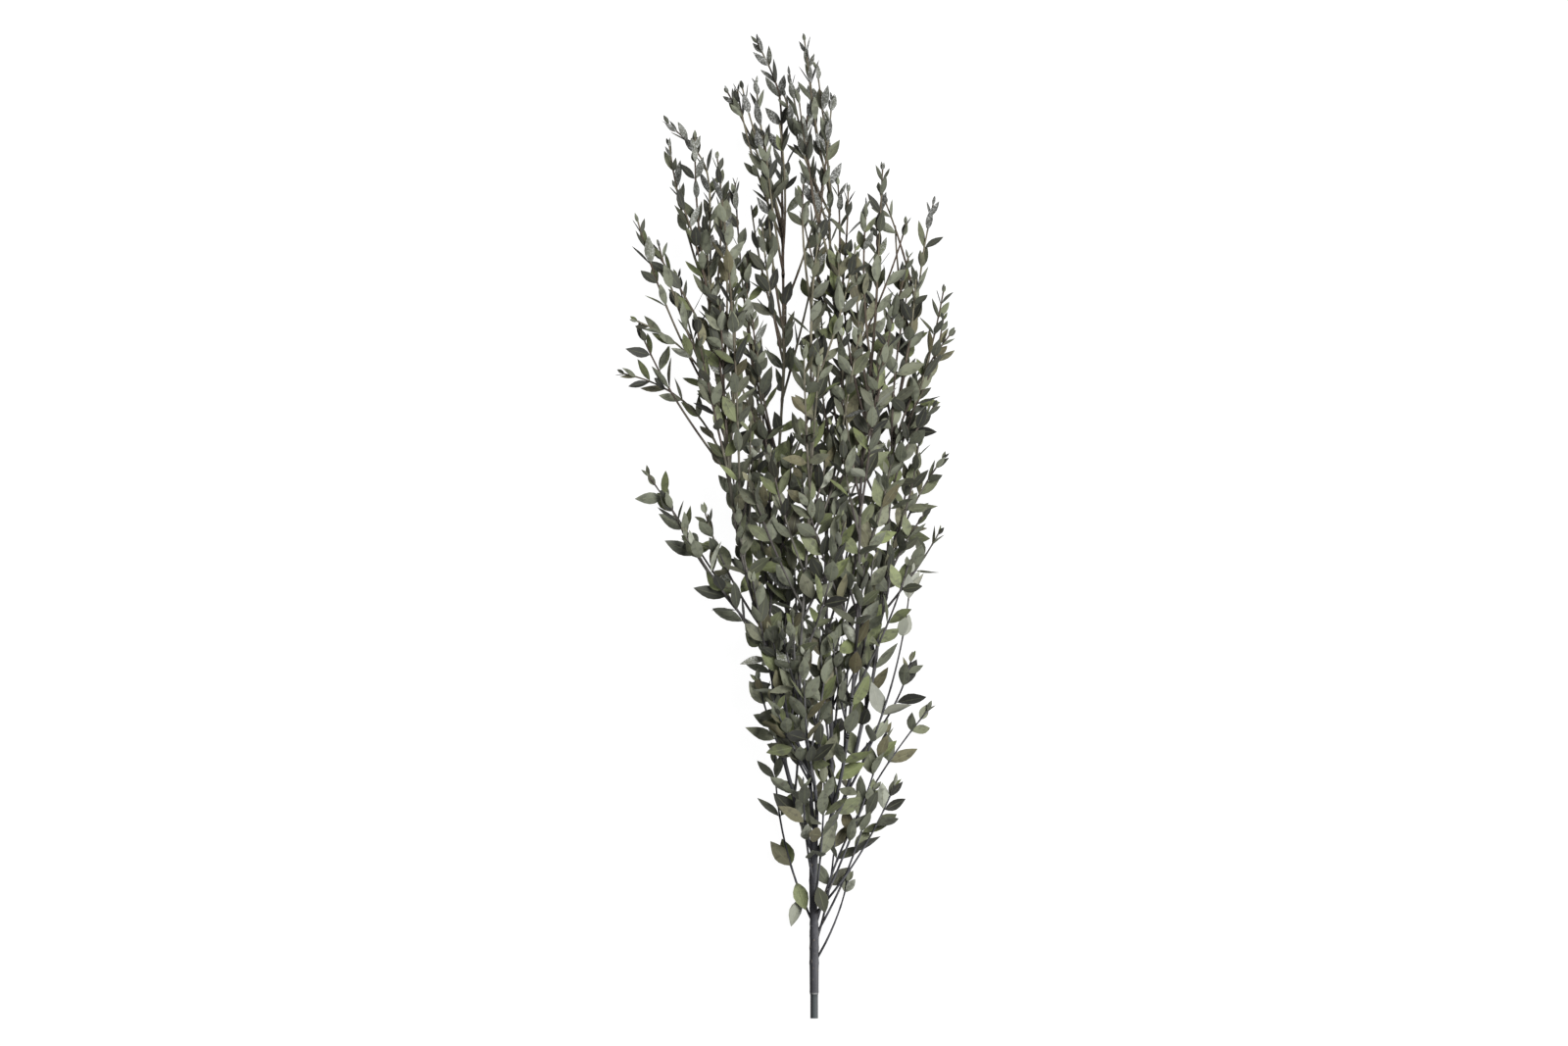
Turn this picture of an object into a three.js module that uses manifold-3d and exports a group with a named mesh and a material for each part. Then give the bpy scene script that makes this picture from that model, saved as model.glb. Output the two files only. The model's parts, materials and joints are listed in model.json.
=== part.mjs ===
// A cut branch of small-leaved eucalyptus, dried and lying on a table: one woody stem that forks into six
// boughs, and the thin leafy stems that grow from the boughs and end them.
//
// Millimetres. +Y runs from the cut end of the stem to the tips, +X is to the right when the branch is seen
// from above, and +Z is up. The origin lies on the table, under the level foot of the stem.

import * as THREE from "three";
import { mergeVertices } from "three/addons/utils/BufferGeometryUtils.js";
import Module from "manifold-3d";

const wasm = await Module();
wasm.setup();

const UP = new THREE.Vector3(0, 0, 1);
const DEGREE = Math.PI / 180;
const GOLDEN_TURN = 137.5 * DEGREE;

// The stem
const CUT_TO_ORIGIN = 12;
const STEM_RADIUS = 3.5;
const STEM_SIDES = 8;
const BOUGH_SIDES = 5;
const BOUGH_STEPS = 11;
const LEADER_STEPS = 6;
const SEAT_GAP = 0.3;

// The leafy stems
const TWIG_SIDES = 4;
const TWIG_STEP_LENGTH = 52;
const TWIG_BASE_RADIUS = 0.95;
const TWIG_TIP_RADIUS = 0.5;
const TWIG_LOWEST = 2.2;
const TWIG_HIGHEST = 128;
const STEM_CLEARANCE = 0.9;

// The leaves
const LEAF_LENGTH = 26;
const LEAF_TIP_LENGTH = 10;
const LEAF_GROWTH = 6;
const LEAF_SLENDERNESS = 2.05;
const LEAF_THICKNESS = 0.6;
const LEAF_ROOT = 0.6;
const PAIR_GAP_AT_TIP = 9;
const PAIR_GAP_GROWTH = 2.6;
const PAIR_GAP_MOST = 24;
const SPREAD_AT_TIP = 17 * DEGREE;
const SPREAD_GROWTH = 5 * DEGREE;
const SPREAD_MOST = 42 * DEGREE;
const LEVELLED = 0.6;
const LEAF_CLEARANCE = 1.5;
const SMALL_LEAF = 19;

// From the lowest leaves to the highest, leaves get this much smaller, more slender, closer to the stem and
// less settled towards level.
const LOW_LEAVES = 200;
const HIGH_LEAVES = 600;
const SMALLER_ABOVE = 0.2;
const SLENDERER_ABOVE = 0.25;
const CLOSER_ABOVE = 0.32;
const STEEPER_ABOVE = 0.4;

// Where the stem runs: x, distance y from the cut end, height z and radius. It lies level on the table at its
// foot, thins where the first side stems leave and swells into the fork.
const STEM_ROUTE = [
  [0, 0, STEM_RADIUS, STEM_RADIUS],
  [0, 24, STEM_RADIUS, STEM_RADIUS],
  [0, 48, STEM_RADIUS, STEM_RADIUS],
  [0, 72, 8.5, 3.3],
  [-0.5, 84, 12.5, 2.6],
  [-1, 108, 22, 2.5],
  [-0.5, 128, 30, 3.1],
  [0, 146, 36, 2.8],
];

// Where a bough runs, seen from above: x and height z at each distance y from the cut end. "woody" is the
// distance at which its bare part ends and its leafy end begins.
const BOUGHS = [
  {
    name: "right_leader", root: 2.0, end: 1.0, woody: 580,
    route: [[1, 132, 32], [9, 150, 36], [15, 172, 42], [14, 205, 49], [13, 260, 57], [10, 318, 62],
      [9, 361, 63], [12, 423, 65], [20, 463, 66], [22, 520, 66], [15, 586, 64], [12, 643, 60],
      [13, 672, 58], [3, 705, 56], [-2, 748, 54], [-8, 791, 50]],
  },
  {
    name: "left_leader", root: 2.0, end: 1.0, woody: 560,
    route: [[-1, 136, 32], [-8, 153, 36], [-14, 172, 39], [-27, 223, 43], [-33, 270, 45], [-36, 318, 46],
      [-36, 355, 46], [-32, 412, 45], [-28, 468, 44], [-25, 525, 43], [-25, 580, 41], [-26, 665, 40],
      [-27, 736, 38], [-33, 762, 37], [-46, 790, 34]],
  },
  {
    name: "left_bough", root: 1.7, end: 0.95, woody: 505,
    route: [[1, 148, 36], [-2, 170, 46], [-5, 202, 55], [-16, 230, 62], [-25, 257, 67], [-43, 318, 74],
      [-55, 360, 77], [-64, 405, 79], [-70, 452, 79], [-75, 505, 77], [-80, 555, 73], [-87, 600, 68],
      [-84, 650, 59], [-87, 686, 52], [-99, 706, 47], [-118, 724, 42]],
  },
  {
    name: "right_bough", root: 1.8, end: 0.95, woody: 475,
    route: [[9, 150, 36], [17, 164, 36], [27, 188, 34], [38, 237, 31], [48, 280, 29], [53, 320, 28],
      [57, 350, 28], [60, 390, 29], [60, 428, 30], [64, 468, 32], [69, 507, 34], [77, 547, 36],
      [84, 590, 38], [89, 625, 38], [96, 659, 36]],
  },
  {
    name: "middle_bough", root: 1.6, end: 0.95, woody: 470,
    route: [[0, 142, 34], [2, 166, 48], [0, 191, 58], [-5, 219, 68], [-10, 247, 77], [-12, 280, 85],
      [-10, 322, 93], [-7, 365, 99], [-4, 428, 103], [-2, 484, 103], [-3, 531, 100], [-2, 586, 94],
      [3, 634, 87], [8, 682, 79], [12, 717, 73], [14, 742, 68]],
  },
  {
    name: "upper_bough", root: 1.5, end: 0.9, woody: 548,
    route: [[14, 168, 41], [21, 195, 55], [26, 225, 67], [30, 260, 77], [33, 300, 85], [35, 340, 90],
      [36, 385, 92], [37, 430, 90], [40, 476, 86], [45, 525, 81], [49, 570, 75], [52, 626, 67],
      [55, 687, 58]],
  },
];

// The long leafy stems that give the branch its outline. "from" is what a stem grows from, "at" how far from
// the cut end, "tip" where it ends and "bow" how far its middle stands off the straight line, both as
// [x, y, z]. "bare" is the share of its length that has no leaves.
const OUTLINE_STEMS = [
  { from: "left_bough", at: 520, tip: [-136, 631, 62], bow: [9, -4, 8] },
  { from: "left_bough", at: 466, tip: [-143, 564, 88], bow: [14, 12, 4] },
  { from: "left_bough", at: 424, tip: [-154, 522, 60], bow: [15, 17, -8] },
  { from: "left_leader", at: 286, tip: [-134, 440, 22], bow: [1, 1, -4] },
  { from: "left_leader", at: 655, tip: [-58, 752, 62], bow: [-2, -1, 8] },
  { from: "left_leader", at: 630, tip: [-70, 750, 20], bow: [5, 2, -2] },
  { from: "left_bough", at: 384, tip: [-78, 694, 104], bow: [5, 0, 9] },
  { from: "left_leader", at: 420, tip: [-64, 676, 24], bow: [-5, 0, -7] },
  { from: "left_bough", at: 540, tip: [-112, 672, 84], bow: [4, 4, 6] },
  { from: "right_leader", at: 556, tip: [27, 668, 88], bow: [2, 2, 6] },
  { from: "upper_bough", at: 530, tip: [42, 656, 88], bow: [-4, 0, 5] },
  { from: "right_bough", at: 452, tip: [109, 553, 52], bow: [-6, 3, 5] },
  { from: "right_bough", at: 330, tip: [104, 454, 22], bow: [-8, 3, -4] },
  { from: "right_bough", at: 394, tip: [96, 495, 60], bow: [-9, 4, 8] },
  { from: "right_bough", at: 350, tip: [88, 408, 54], bow: [-2, 1, 5] },
  { from: "right_bough", at: 178, tip: [78, 362, 52], bow: [10, -4, 6] },
  { from: "stem", at: 70, tip: [92, 250, 24], bow: [-11, 5, 3], bare: 0.15 },
  { from: "stem", at: 45, tip: [27, 112, 12], bow: [3, -1, 1], bare: 0.55 },
  { from: "stem", at: 76, tip: [-32, 216, 16], bow: [-8, -2, -3], bare: 0.2 },
  { from: "stem", at: 57, tip: [17, 160, 8], bow: [4, -1, -1], bare: 0.3 },
];

// The side stems inside the outline come off each bough by rule, one at each turn of the golden angle.
const SIDE_STEMS = {
  right_leader: { first: 168, last: 540, count: 8, shortest: 60, longest: 150 },
  left_leader: { first: 180, last: 530, count: 6, shortest: 60, longest: 150 },
  left_bough: { first: 205, last: 470, count: 4, shortest: 70, longest: 130 },
  right_bough: { first: 215, last: 440, count: 3, shortest: 60, longest: 105 },
  middle_bough: { first: 170, last: 450, count: 6, shortest: 60, longest: 150 },
  upper_bough: { first: 190, last: 430, count: 5, shortest: 70, longest: 150 },
};
const SIDE_STEM_ANGLE = 24 * DEGREE;
const SIDE_STEM_BOW = 0.03;

// A seeded draw from 0 to 1.
function seededDraw(seed) {
  let state = seed;
  return () => {
    state = (state + 0x6d2b79f5) | 0;
    let t = Math.imul(state ^ (state >>> 15), 1 | state);
    t = (t + Math.imul(t ^ (t >>> 7), 61 | t)) ^ t;
    return ((t ^ (t >>> 14)) >>> 0) / 4294967296;
  };
}
const draw = seededDraw(20);
const between = (low, high) => low + (high - low) * draw();

// Curves of the stems

const place = ([x, y, z]) => new THREE.Vector3(x, y - CUT_TO_ORIGIN, z);
const through = (points) => new THREE.CatmullRomCurve3(points.map(place), false, "catmullrom", 0.5);

// The share of a curve at which it is y from the cut end. Every curve searched here climbs in y.
function shareAt(curve, y) {
  let low = 0;
  let high = 1;
  for (let i = 0; i < 30; i++) {
    const middle = (low + high) / 2;
    if (curve.getPoint(middle).y + CUT_TO_ORIGIN < y) low = middle;
    else high = middle;
  }
  return low;
}

// Where a stem runs: its centre line in equal steps, with its radius at each.
function stemLine(curve, from, to, steps, baseRadius, tipRadius) {
  const points = [];
  for (let i = 0; i <= steps; i++) {
    const share = i / steps;
    const at = from + (to - from) * share;
    points.push({
      centre: curve.getPoint(at),
      along: curve.getTangent(at),
      radius: baseRadius + (tipRadius - baseRadius) * share,
    });
  }
  return points;
}

function lineLength(line) {
  let length = 0;
  for (let i = 1; i < line.length; i++) length += line[i].centre.distanceTo(line[i - 1].centre);
  return length;
}

// The point of a centre line between two of its points.
function pointBetween(a, b, share) {
  return {
    centre: a.centre.clone().lerp(b.centre, share),
    along: a.along.clone().lerp(b.along, share).normalize(),
    radius: a.radius + (b.radius - a.radius) * share,
  };
}

// The point that lies a given length along a centre line.
function pointAlong(line, length) {
  let left = length;
  for (let i = 1; i < line.length; i++) {
    const step = line[i].centre.distanceTo(line[i - 1].centre);
    if (left <= step || i === line.length - 1) return pointBetween(line[i - 1], line[i], left / step);
    left -= step;
  }
}

// The level and the upright direction square to a stem.
function squareTo(along) {
  const side = along.clone().cross(UP).normalize();
  return { side, up: side.clone().cross(along) };
}

const stemCurve = through(STEM_ROUTE);
const stem = { name: "stem", curve: stemCurve, line: stemLine(stemCurve, 0, 1, STEM_ROUTE.length - 1) };
stem.line.forEach((point, i) => { point.radius = STEM_ROUTE[i][3]; });

const boughs = BOUGHS.map(({ name, root, end, woody, route }) => {
  const curve = through(route);
  return { name, woody, end, curve, line: stemLine(curve, 0, shareAt(curve, woody), BOUGH_STEPS, root, end) };
});

// The point of a stem's centre line at which it is y from the cut end.
function lineAt(line, y) {
  const i = Math.max(1, line.findIndex((point) => point.centre.y + CUT_TO_ORIGIN >= y));
  const share = (y - CUT_TO_ORIGIN - line[i - 1].centre.y) / (line[i].centre.y - line[i - 1].centre.y);
  return pointBetween(line[i - 1], line[i], share);
}

// The least gap between two centre lines, less the radii, from "skip" along the first.
function gapBetween(line, other, skip) {
  let least = Infinity;
  let run = 0;
  for (let i = 1; i < line.length; i++) {
    const a = line[i - 1];
    const b = line[i];
    const step = b.centre.distanceTo(a.centre);
    const from = Math.max(0, skip - run);
    run += step;
    if (from >= step) continue;
    const start = a.centre.clone().lerp(b.centre, from / step);
    for (let j = 1; j < other.length; j++) {
      const gap = segmentGap(start, b.centre, other[j - 1].centre, other[j].centre);
      least = Math.min(least, gap - a.radius - other[j].radius);
    }
  }
  return least;
}

// The distance between two straight stretches.
function segmentGap(a0, a1, b0, b1) {
  const u = a1.clone().sub(a0);
  const v = b1.clone().sub(b0);
  const w = a0.clone().sub(b0);
  const uu = u.dot(u);
  const uv = u.dot(v);
  const vv = v.dot(v);
  const uw = u.dot(w);
  const vw = v.dot(w);
  const cross = uu * vv - uv * uv;
  let s = cross > 1e-9 ? THREE.MathUtils.clamp((uv * vw - vv * uw) / cross, 0, 1) : 0;
  const t = THREE.MathUtils.clamp((uv * s + vw) / vv, 0, 1);
  s = THREE.MathUtils.clamp((uv * t - uw) / uu, 0, 1);
  return a0.clone().addScaledVector(u, s).distanceTo(b0.clone().addScaledVector(v, t));
}

const leafyStems = [];
const RAISES = [0, 2, -2, 4, -4, 6, -6, 9, -9, 12, -12];

// A leafy stem that grows from wood starts a node of its own. One that grows from a leafy stem joins its node.
function addLeafyStem(line, parent, bare = 0) {
  const node = parent.node ?? { name: "", stems: [] };
  const leafyStem = { node, parent, line, bare, turn: between(0, 2 * Math.PI), leaves: [] };
  node.stems.push(leafyStem);
  leafyStems.push(leafyStem);
  return leafyStem;
}

// Adds a side stem on a bowed curve from a root inside its parent, with its middle raised by the first height
// at which the stem clears every one before it. Near the root it may pass its parent and that one's others.
function addSideStem(parent, root, tip, bow, bare) {
  const start = root.centre;
  const free = 5 + 4 * root.radius;
  keepOffTable(tip);
  let best = null;
  for (const raise of RAISES) {
    const middle = start.clone().add(tip).multiplyScalar(0.5).addScaledVector(bow, 2);
    middle.z += 2 * raise;
    const curve = new THREE.QuadraticBezierCurve3(start, keepOffTable(middle), tip);
    const steps = Math.max(2, Math.round(curve.getLength() / TWIG_STEP_LENGTH));
    const line = stemLine(curve, 0, 1, steps, TWIG_BASE_RADIUS, TWIG_TIP_RADIUS);
    let gap = Infinity;
    for (const other of [stem, ...boughs, ...leafyStems]) {
      const skip = other === parent || other.parent === parent ? free : 0;
      gap = Math.min(gap, gapBetween(line, other.line, skip));
    }
    if (!best || gap > best.gap) best = { gap, line };
    if (gap > STEM_CLEARANCE) break;
  }
  addLeafyStem(best.line, parent, bare);
}

function keepOffTable(point) {
  point.z = THREE.MathUtils.clamp(point.z, TWIG_LOWEST, TWIG_HIGHEST);
  return point;
}

// The leafy end of each bough starts a seat gap past its bare part.
for (const bough of boughs) {
  const from = shareAt(bough.curve, bough.woody + SEAT_GAP);
  bough.leafyEnd = addLeafyStem(stemLine(bough.curve, from, 1, LEADER_STEPS, bough.end, TWIG_TIP_RADIUS), bough);
}

for (const { from, at, tip, bow, bare } of OUTLINE_STEMS) {
  const bough = boughs.find(({ name }) => name === from) ?? stem;
  const parent = at > bough.woody ? bough.leafyEnd : bough;
  addSideStem(parent, lineAt(parent.line, at), place(tip), new THREE.Vector3(...bow), bare);
}

for (const bough of boughs) {
  const { first, last, count, shortest, longest } = SIDE_STEMS[bough.name];
  let turn = between(0, 2 * Math.PI);
  for (let i = 0; i < count; i++) {
    const share = (i + 0.5) / count;
    const root = lineAt(bough.line, first + (last - first) * share);
    const { side, up } = squareTo(root.along);
    turn += GOLDEN_TURN;
    const outward = side.multiplyScalar(Math.cos(turn)).addScaledVector(up, Math.sin(turn));
    const angle = SIDE_STEM_ANGLE * between(0.75, 1.25);
    const length = (shortest + (longest - shortest) * Math.sqrt(share)) * between(0.85, 1.15);
    const tip = root.centre.clone().addScaledVector(root.along, length * Math.cos(angle));
    tip.addScaledVector(outward, length * Math.sin(angle));
    addSideStem(bough, root, tip, outward.multiplyScalar(SIDE_STEM_BOW * length));
  }
}

const nodes = [...new Set(leafyStems.map(({ node }) => node))];
nodes.forEach((node, i) => { node.name = "leafy_stem_" + String(i + 1).padStart(2, "0"); });

// Leaves

// Half of a leaf's outline from its root to its tip: share of the length, and of the half width.
const HALF_OUTLINE = [[0.33, 0.9], [0.7, 0.76]];
const SMALL_HALF_OUTLINE = [[0.42, 1]];
const LEAF_BOW = 0.05;

// The rim of a leaf's middle surface: root, one edge, tip, other edge. The leaf bows along its length.
function rimOf(leaf) {
  const { root, along, across, face, length, width, bow } = leaf;
  const half = length < SMALL_LEAF ? SMALL_HALF_OUTLINE : HALF_OUTLINE;
  const at = (share, side) => root.clone()
    .addScaledVector(along, share * length)
    .addScaledVector(across, (side * width) / 2)
    .addScaledVector(face, -bow * length * share * share);
  return [
    at(0, 0),
    ...half.map(([share, side]) => at(share, side)),
    at(1, 0),
    ...half.slice().reverse().map(([share, side]) => at(share, -side)),
  ];
}

// Turns a leaf that would reach into the table flatter and upwards, until it lies on the table.
function layOnTable(leaf) {
  for (let i = 0; i < 5; i++) {
    leaf.rim = rimOf(leaf);
    const sunk = Math.max(...leaf.rim.map((p) => (LEAF_THICKNESS / 2) * Math.abs(leaf.face.z) - p.z));
    if (sunk <= 1e-9) return leaf;
    leaf.across.z *= 0.4;
    leaf.along.z += Math.max(0.04, (1.2 * sunk) / leaf.length);
    leaf.along.normalize();
    leaf.across.addScaledVector(leaf.along, -leaf.across.dot(leaf.along)).normalize();
    leaf.face.crossVectors(leaf.across, leaf.along);
    if (leaf.face.z < 0) leaf.bow = -Math.abs(leaf.bow);
  }
  leaf.rim = rimOf(leaf);
  for (const p of leaf.rim) p.z = Math.max(p.z, (LEAF_THICKNESS / 2) * Math.abs(leaf.face.z));
  return leaf;
}

// Whether the straight stretch p to q comes within a clearance of a leaf, taken as a flat oval: its part that
// lies near the leaf's plane is tested against the oval.
function meetsBlade(p, q, leaf, clearance) {
  const fromMiddle = p.clone().sub(leaf.middle);
  const step = q.clone().sub(p);
  const height = fromMiddle.dot(leaf.face);
  const climb = step.dot(leaf.face);
  let low = 0;
  let high = 1;
  if (Math.abs(climb) > 1e-9) {
    const shares = [(clearance - height) / climb, (-clearance - height) / climb];
    low = Math.max(low, Math.min(...shares));
    high = Math.min(high, Math.max(...shares));
  } else if (Math.abs(height) > clearance) {
    return false;
  }
  if (low > high) return false;
  const reach = leaf.length / 2 + clearance;
  const breadth = leaf.width / 2 + clearance;
  const a = fromMiddle.dot(leaf.along) / reach;
  const b = fromMiddle.dot(leaf.across) / breadth;
  const da = step.dot(leaf.along) / reach;
  const db = step.dot(leaf.across) / breadth;
  const nearest = THREE.MathUtils.clamp(-(a * da + b * db) / (da * da + db * db || 1), low, high);
  return (a + da * nearest) ** 2 + (b + db * nearest) ** 2 < 1;
}

function rimMeets(leaf, other) {
  const count = leaf.rim.length;
  for (let i = 0; i < count; i++) {
    if (meetsBlade(leaf.rim[i], leaf.rim[(i + 1) % count], other, LEAF_CLEARANCE)) return true;
  }
  return meetsBlade(leaf.rim[0], leaf.rim[count / 2], other, LEAF_CLEARANCE);
}

const leaves = [];

function isClear(leaf, own) {
  for (const other of leaves) {
    if (other.joint === leaf.joint) continue;
    if (other.middle.distanceTo(leaf.middle) > (other.length + leaf.length) / 2 + LEAF_CLEARANCE) continue;
    if (rimMeets(leaf, other) || rimMeets(other, leaf)) return false;
  }
  for (const other of [stem, ...boughs, ...leafyStems]) {
    if (other === own) continue;
    for (let i = 1; i < other.line.length; i++) {
      const a = other.line[i - 1];
      const b = other.line[i];
      if (meetsBlade(a.centre, b.centre, leaf, LEAF_CLEARANCE + a.radius)) return false;
    }
  }
  return true;
}

// A leaf that stands off a stem at "spread" from its direction and "turn" round it. It is rolled about itself
// and then part of the way to level, as leaves settle on a branch that lies down.
function makeLeaf(joint, turn, spread, roll, levelled, length, width, bow) {
  const { centre, along: stemward } = joint;
  const { side, up } = squareTo(stemward);
  const outward = side.multiplyScalar(Math.cos(turn)).addScaledVector(up, Math.sin(turn));
  const along = stemward.clone().multiplyScalar(Math.cos(spread)).addScaledVector(outward, Math.sin(spread));
  const flat = stemward.clone().cross(outward);
  const upright = flat.clone().cross(along);
  const level = squareTo(along).side;
  const rolled = roll + levelled * Math.atan(level.dot(upright) / level.dot(flat));
  const across = flat.multiplyScalar(Math.cos(rolled)).addScaledVector(upright, Math.sin(rolled)).normalize();
  const face = across.clone().cross(along);
  const root = centre.clone().addScaledVector(outward, LEAF_ROOT * joint.radius);
  const leaf = layOnTable({ joint, root, along, across, face, length, width, bow });
  leaf.middle = leaf.root.clone().addScaledVector(leaf.along, leaf.length / 2);
  leaf.middle.addScaledVector(leaf.face, -leaf.bow * leaf.length * 0.25);
  return leaf;
}

const TURN_TRIES = [0, 28, -28, 56, -56].map((degrees) => degrees * DEGREE);
const MODELLED_PAIRS = [0, 1, 4];
const MODELLED_OF = 7;

// Sets pairs of leaves down a leafy stem from its tip, three of every seven that the real stem bears. The pairs
// get wider apart and larger, and each stands square to the one before. A leaf that would cross another or a
// stem is turned, or left out.
function setLeaves(own) {
  const length = lineLength(own.line);
  const lowest = Math.max(own.bare * length, PAIR_GAP_MOST * 0.8);
  let fromTip = 1;
  for (let pair = 0; fromTip < length - lowest; pair++) {
    if (MODELLED_PAIRS.includes(pair % MODELLED_OF)) setPair(own, pair, pointAlong(own.line, length - fromTip));
    fromTip += Math.min(PAIR_GAP_MOST, PAIR_GAP_AT_TIP + PAIR_GAP_GROWTH * pair);
  }
}

function setPair(own, pair, joint) {
  const upness = THREE.MathUtils.clamp((joint.centre.y - LOW_LEAVES) / (HIGH_LEAVES - LOW_LEAVES), 0, 1);
  const size = Math.min(LEAF_LENGTH, LEAF_TIP_LENGTH + LEAF_GROWTH * pair) * (1 - SMALLER_ABOVE * upness);
  const slenderness = LEAF_SLENDERNESS * (1 + SLENDERER_ABOVE * upness);
  const widest = Math.min(SPREAD_MOST * (1 - CLOSER_ABOVE * upness), SPREAD_AT_TIP + SPREAD_GROWTH * pair);
  const levelled = LEVELLED * (1 - STEEPER_ABOVE * upness);
  const turn = own.turn + (pair * Math.PI) / 2 + between(-0.25, 0.25);
  for (const opposite of [0, Math.PI]) {
    const length = size * between(0.82, 1.14);
    const width = length / (slenderness * between(0.88, 1.16));
    const spread = widest * between(0.7, 1.35);
    const roll = between(-0.75, 0.75);
    const bow = LEAF_BOW * between(-0.5, 1.5);
    for (const extraTurn of TURN_TRIES) {
      const leaf = makeLeaf(joint, turn + opposite + extraTurn, spread, roll, levelled, length, width, bow);
      if (!isClear(leaf, own)) continue;
      leaves.push(leaf);
      own.leaves.push(leaf);
      break;
    }
  }
}
leafyStems.forEach(setLeaves);

// Solids

function solidOf(geometry) {
  geometry.deleteAttribute("normal");
  geometry.deleteAttribute("uv");
  const merged = mergeVertices(geometry, 1e-4);
  return new wasm.Manifold(new wasm.Mesh({
    numProp: 3,
    vertProperties: merged.attributes.position.array,
    triVerts: new Uint32Array(merged.index.array),
  }));
}

// A closed tube along a centre line, with a flat side down or at "turn". "extra" widens it all round.
function tubeSolid(line, sides, { extra = 0, turn = 0 } = {}) {
  const steps = line.length - 1;
  const tube = new THREE.CylinderGeometry(1, 1, 1, sides, steps, false, Math.PI / sides - turn);
  const position = tube.attributes.position;
  for (let i = 0; i < position.count; i++) {
    const { centre, along, radius } = line[Math.round((position.getY(i) + 0.5) * steps)];
    const { side, up } = squareTo(along);
    const reach = (radius + extra) / Math.cos(Math.PI / sides);
    const point = centre.clone()
      .addScaledVector(side, position.getX(i) * reach)
      .addScaledVector(up, position.getZ(i) * reach);
    position.setXYZ(i, point.x, point.y, point.z);
  }
  return solidOf(tube);
}

// A leaf's blade: both faces, split alike across the leaf so that they bend together, and the edge between.
const FACES = [[0, 1, 5], [1, 2, 4], [1, 4, 5], [2, 3, 4]];
const SMALL_FACES = [[0, 1, 3], [1, 2, 3]];

function bladeSolid({ rim, face }) {
  const count = rim.length;
  const corners = [LEAF_THICKNESS / 2, -LEAF_THICKNESS / 2].flatMap((offset) =>
    rim.flatMap((p) => p.clone().addScaledVector(face, offset).toArray()));
  const index = [];
  for (const [a, b, c] of count === 6 ? FACES : SMALL_FACES) {
    index.push(a, b, c, count + a, count + c, count + b);
  }
  for (let i = 0; i < count; i++) {
    const next = (i + 1) % count;
    index.push(i, count + i, count + next, i, count + next, next);
  }
  const blade = new THREE.BufferGeometry();
  blade.setAttribute("position", new THREE.Float32BufferAttribute(corners, 3));
  blade.setIndex(index);
  return solidOf(blade);
}

// The solid as a three.js mesh in its part's colour.
function meshOf(name, solid, material) {
  const { vertProperties, triVerts, numProp } = solid.getMesh();
  const position = new Float32Array((vertProperties.length / numProp) * 3);
  for (let i = 0; i < position.length; i++) {
    position[i] = vertProperties[Math.floor(i / 3) * numProp + (i % 3)];
  }
  const geometry = new THREE.BufferGeometry();
  geometry.setAttribute("position", new THREE.BufferAttribute(position, 3));
  geometry.setIndex(new THREE.BufferAttribute(new Uint32Array(triVerts), 1));
  geometry.computeVertexNormals();
  const mesh = new THREE.Mesh(geometry, material);
  mesh.name = name;
  return mesh;
}

// The stem and the bare boughs are one grown piece.
function woodSolid(extra) {
  const tubes = [tubeSolid(stem.line, STEM_SIDES, { extra })];
  for (const bough of boughs) tubes.push(tubeSolid(bough.line, BOUGH_SIDES, { extra }));
  return wasm.Manifold.union(tubes);
}

const barkMaterial = new THREE.MeshStandardMaterial({ color: 0x5c5a58, roughness: 0.85, metalness: 0 });
const leafMaterial = new THREE.MeshStandardMaterial({ color: 0x6e725a, roughness: 0.8, metalness: 0 });

// A leafy stem is twigs and their leaves in one piece, cut back from the wood it grows from.
function leafyStemSolid({ stems }, wood) {
  const pieces = stems.flatMap(({ line, turn, leaves: own }) =>
    [tubeSolid(line, TWIG_SIDES, { turn }), ...own.map(bladeSolid)]);
  const bodies = wasm.Manifold.union(pieces).subtract(wood).decompose();
  bodies.sort((a, b) => b.volume() - a.volume());
  return bodies[0];
}

const branch = new THREE.Group();
branch.add(meshOf("main_stem", woodSolid(0), barkMaterial));
const cutter = woodSolid(SEAT_GAP);
for (const node of nodes) branch.add(meshOf(node.name, leafyStemSolid(node, cutter), leafMaterial));

export default branch;
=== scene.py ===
# A dried branch of small-leaved eucalyptus, laid on a table and seen from straight above.
#
# The branch is grown here by the same rules and the same seeded draws as its solids, in millimetres, and
# every mesh is made in metres. +Y runs from the cut end to the tips, and +Z is up from the table.

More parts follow.
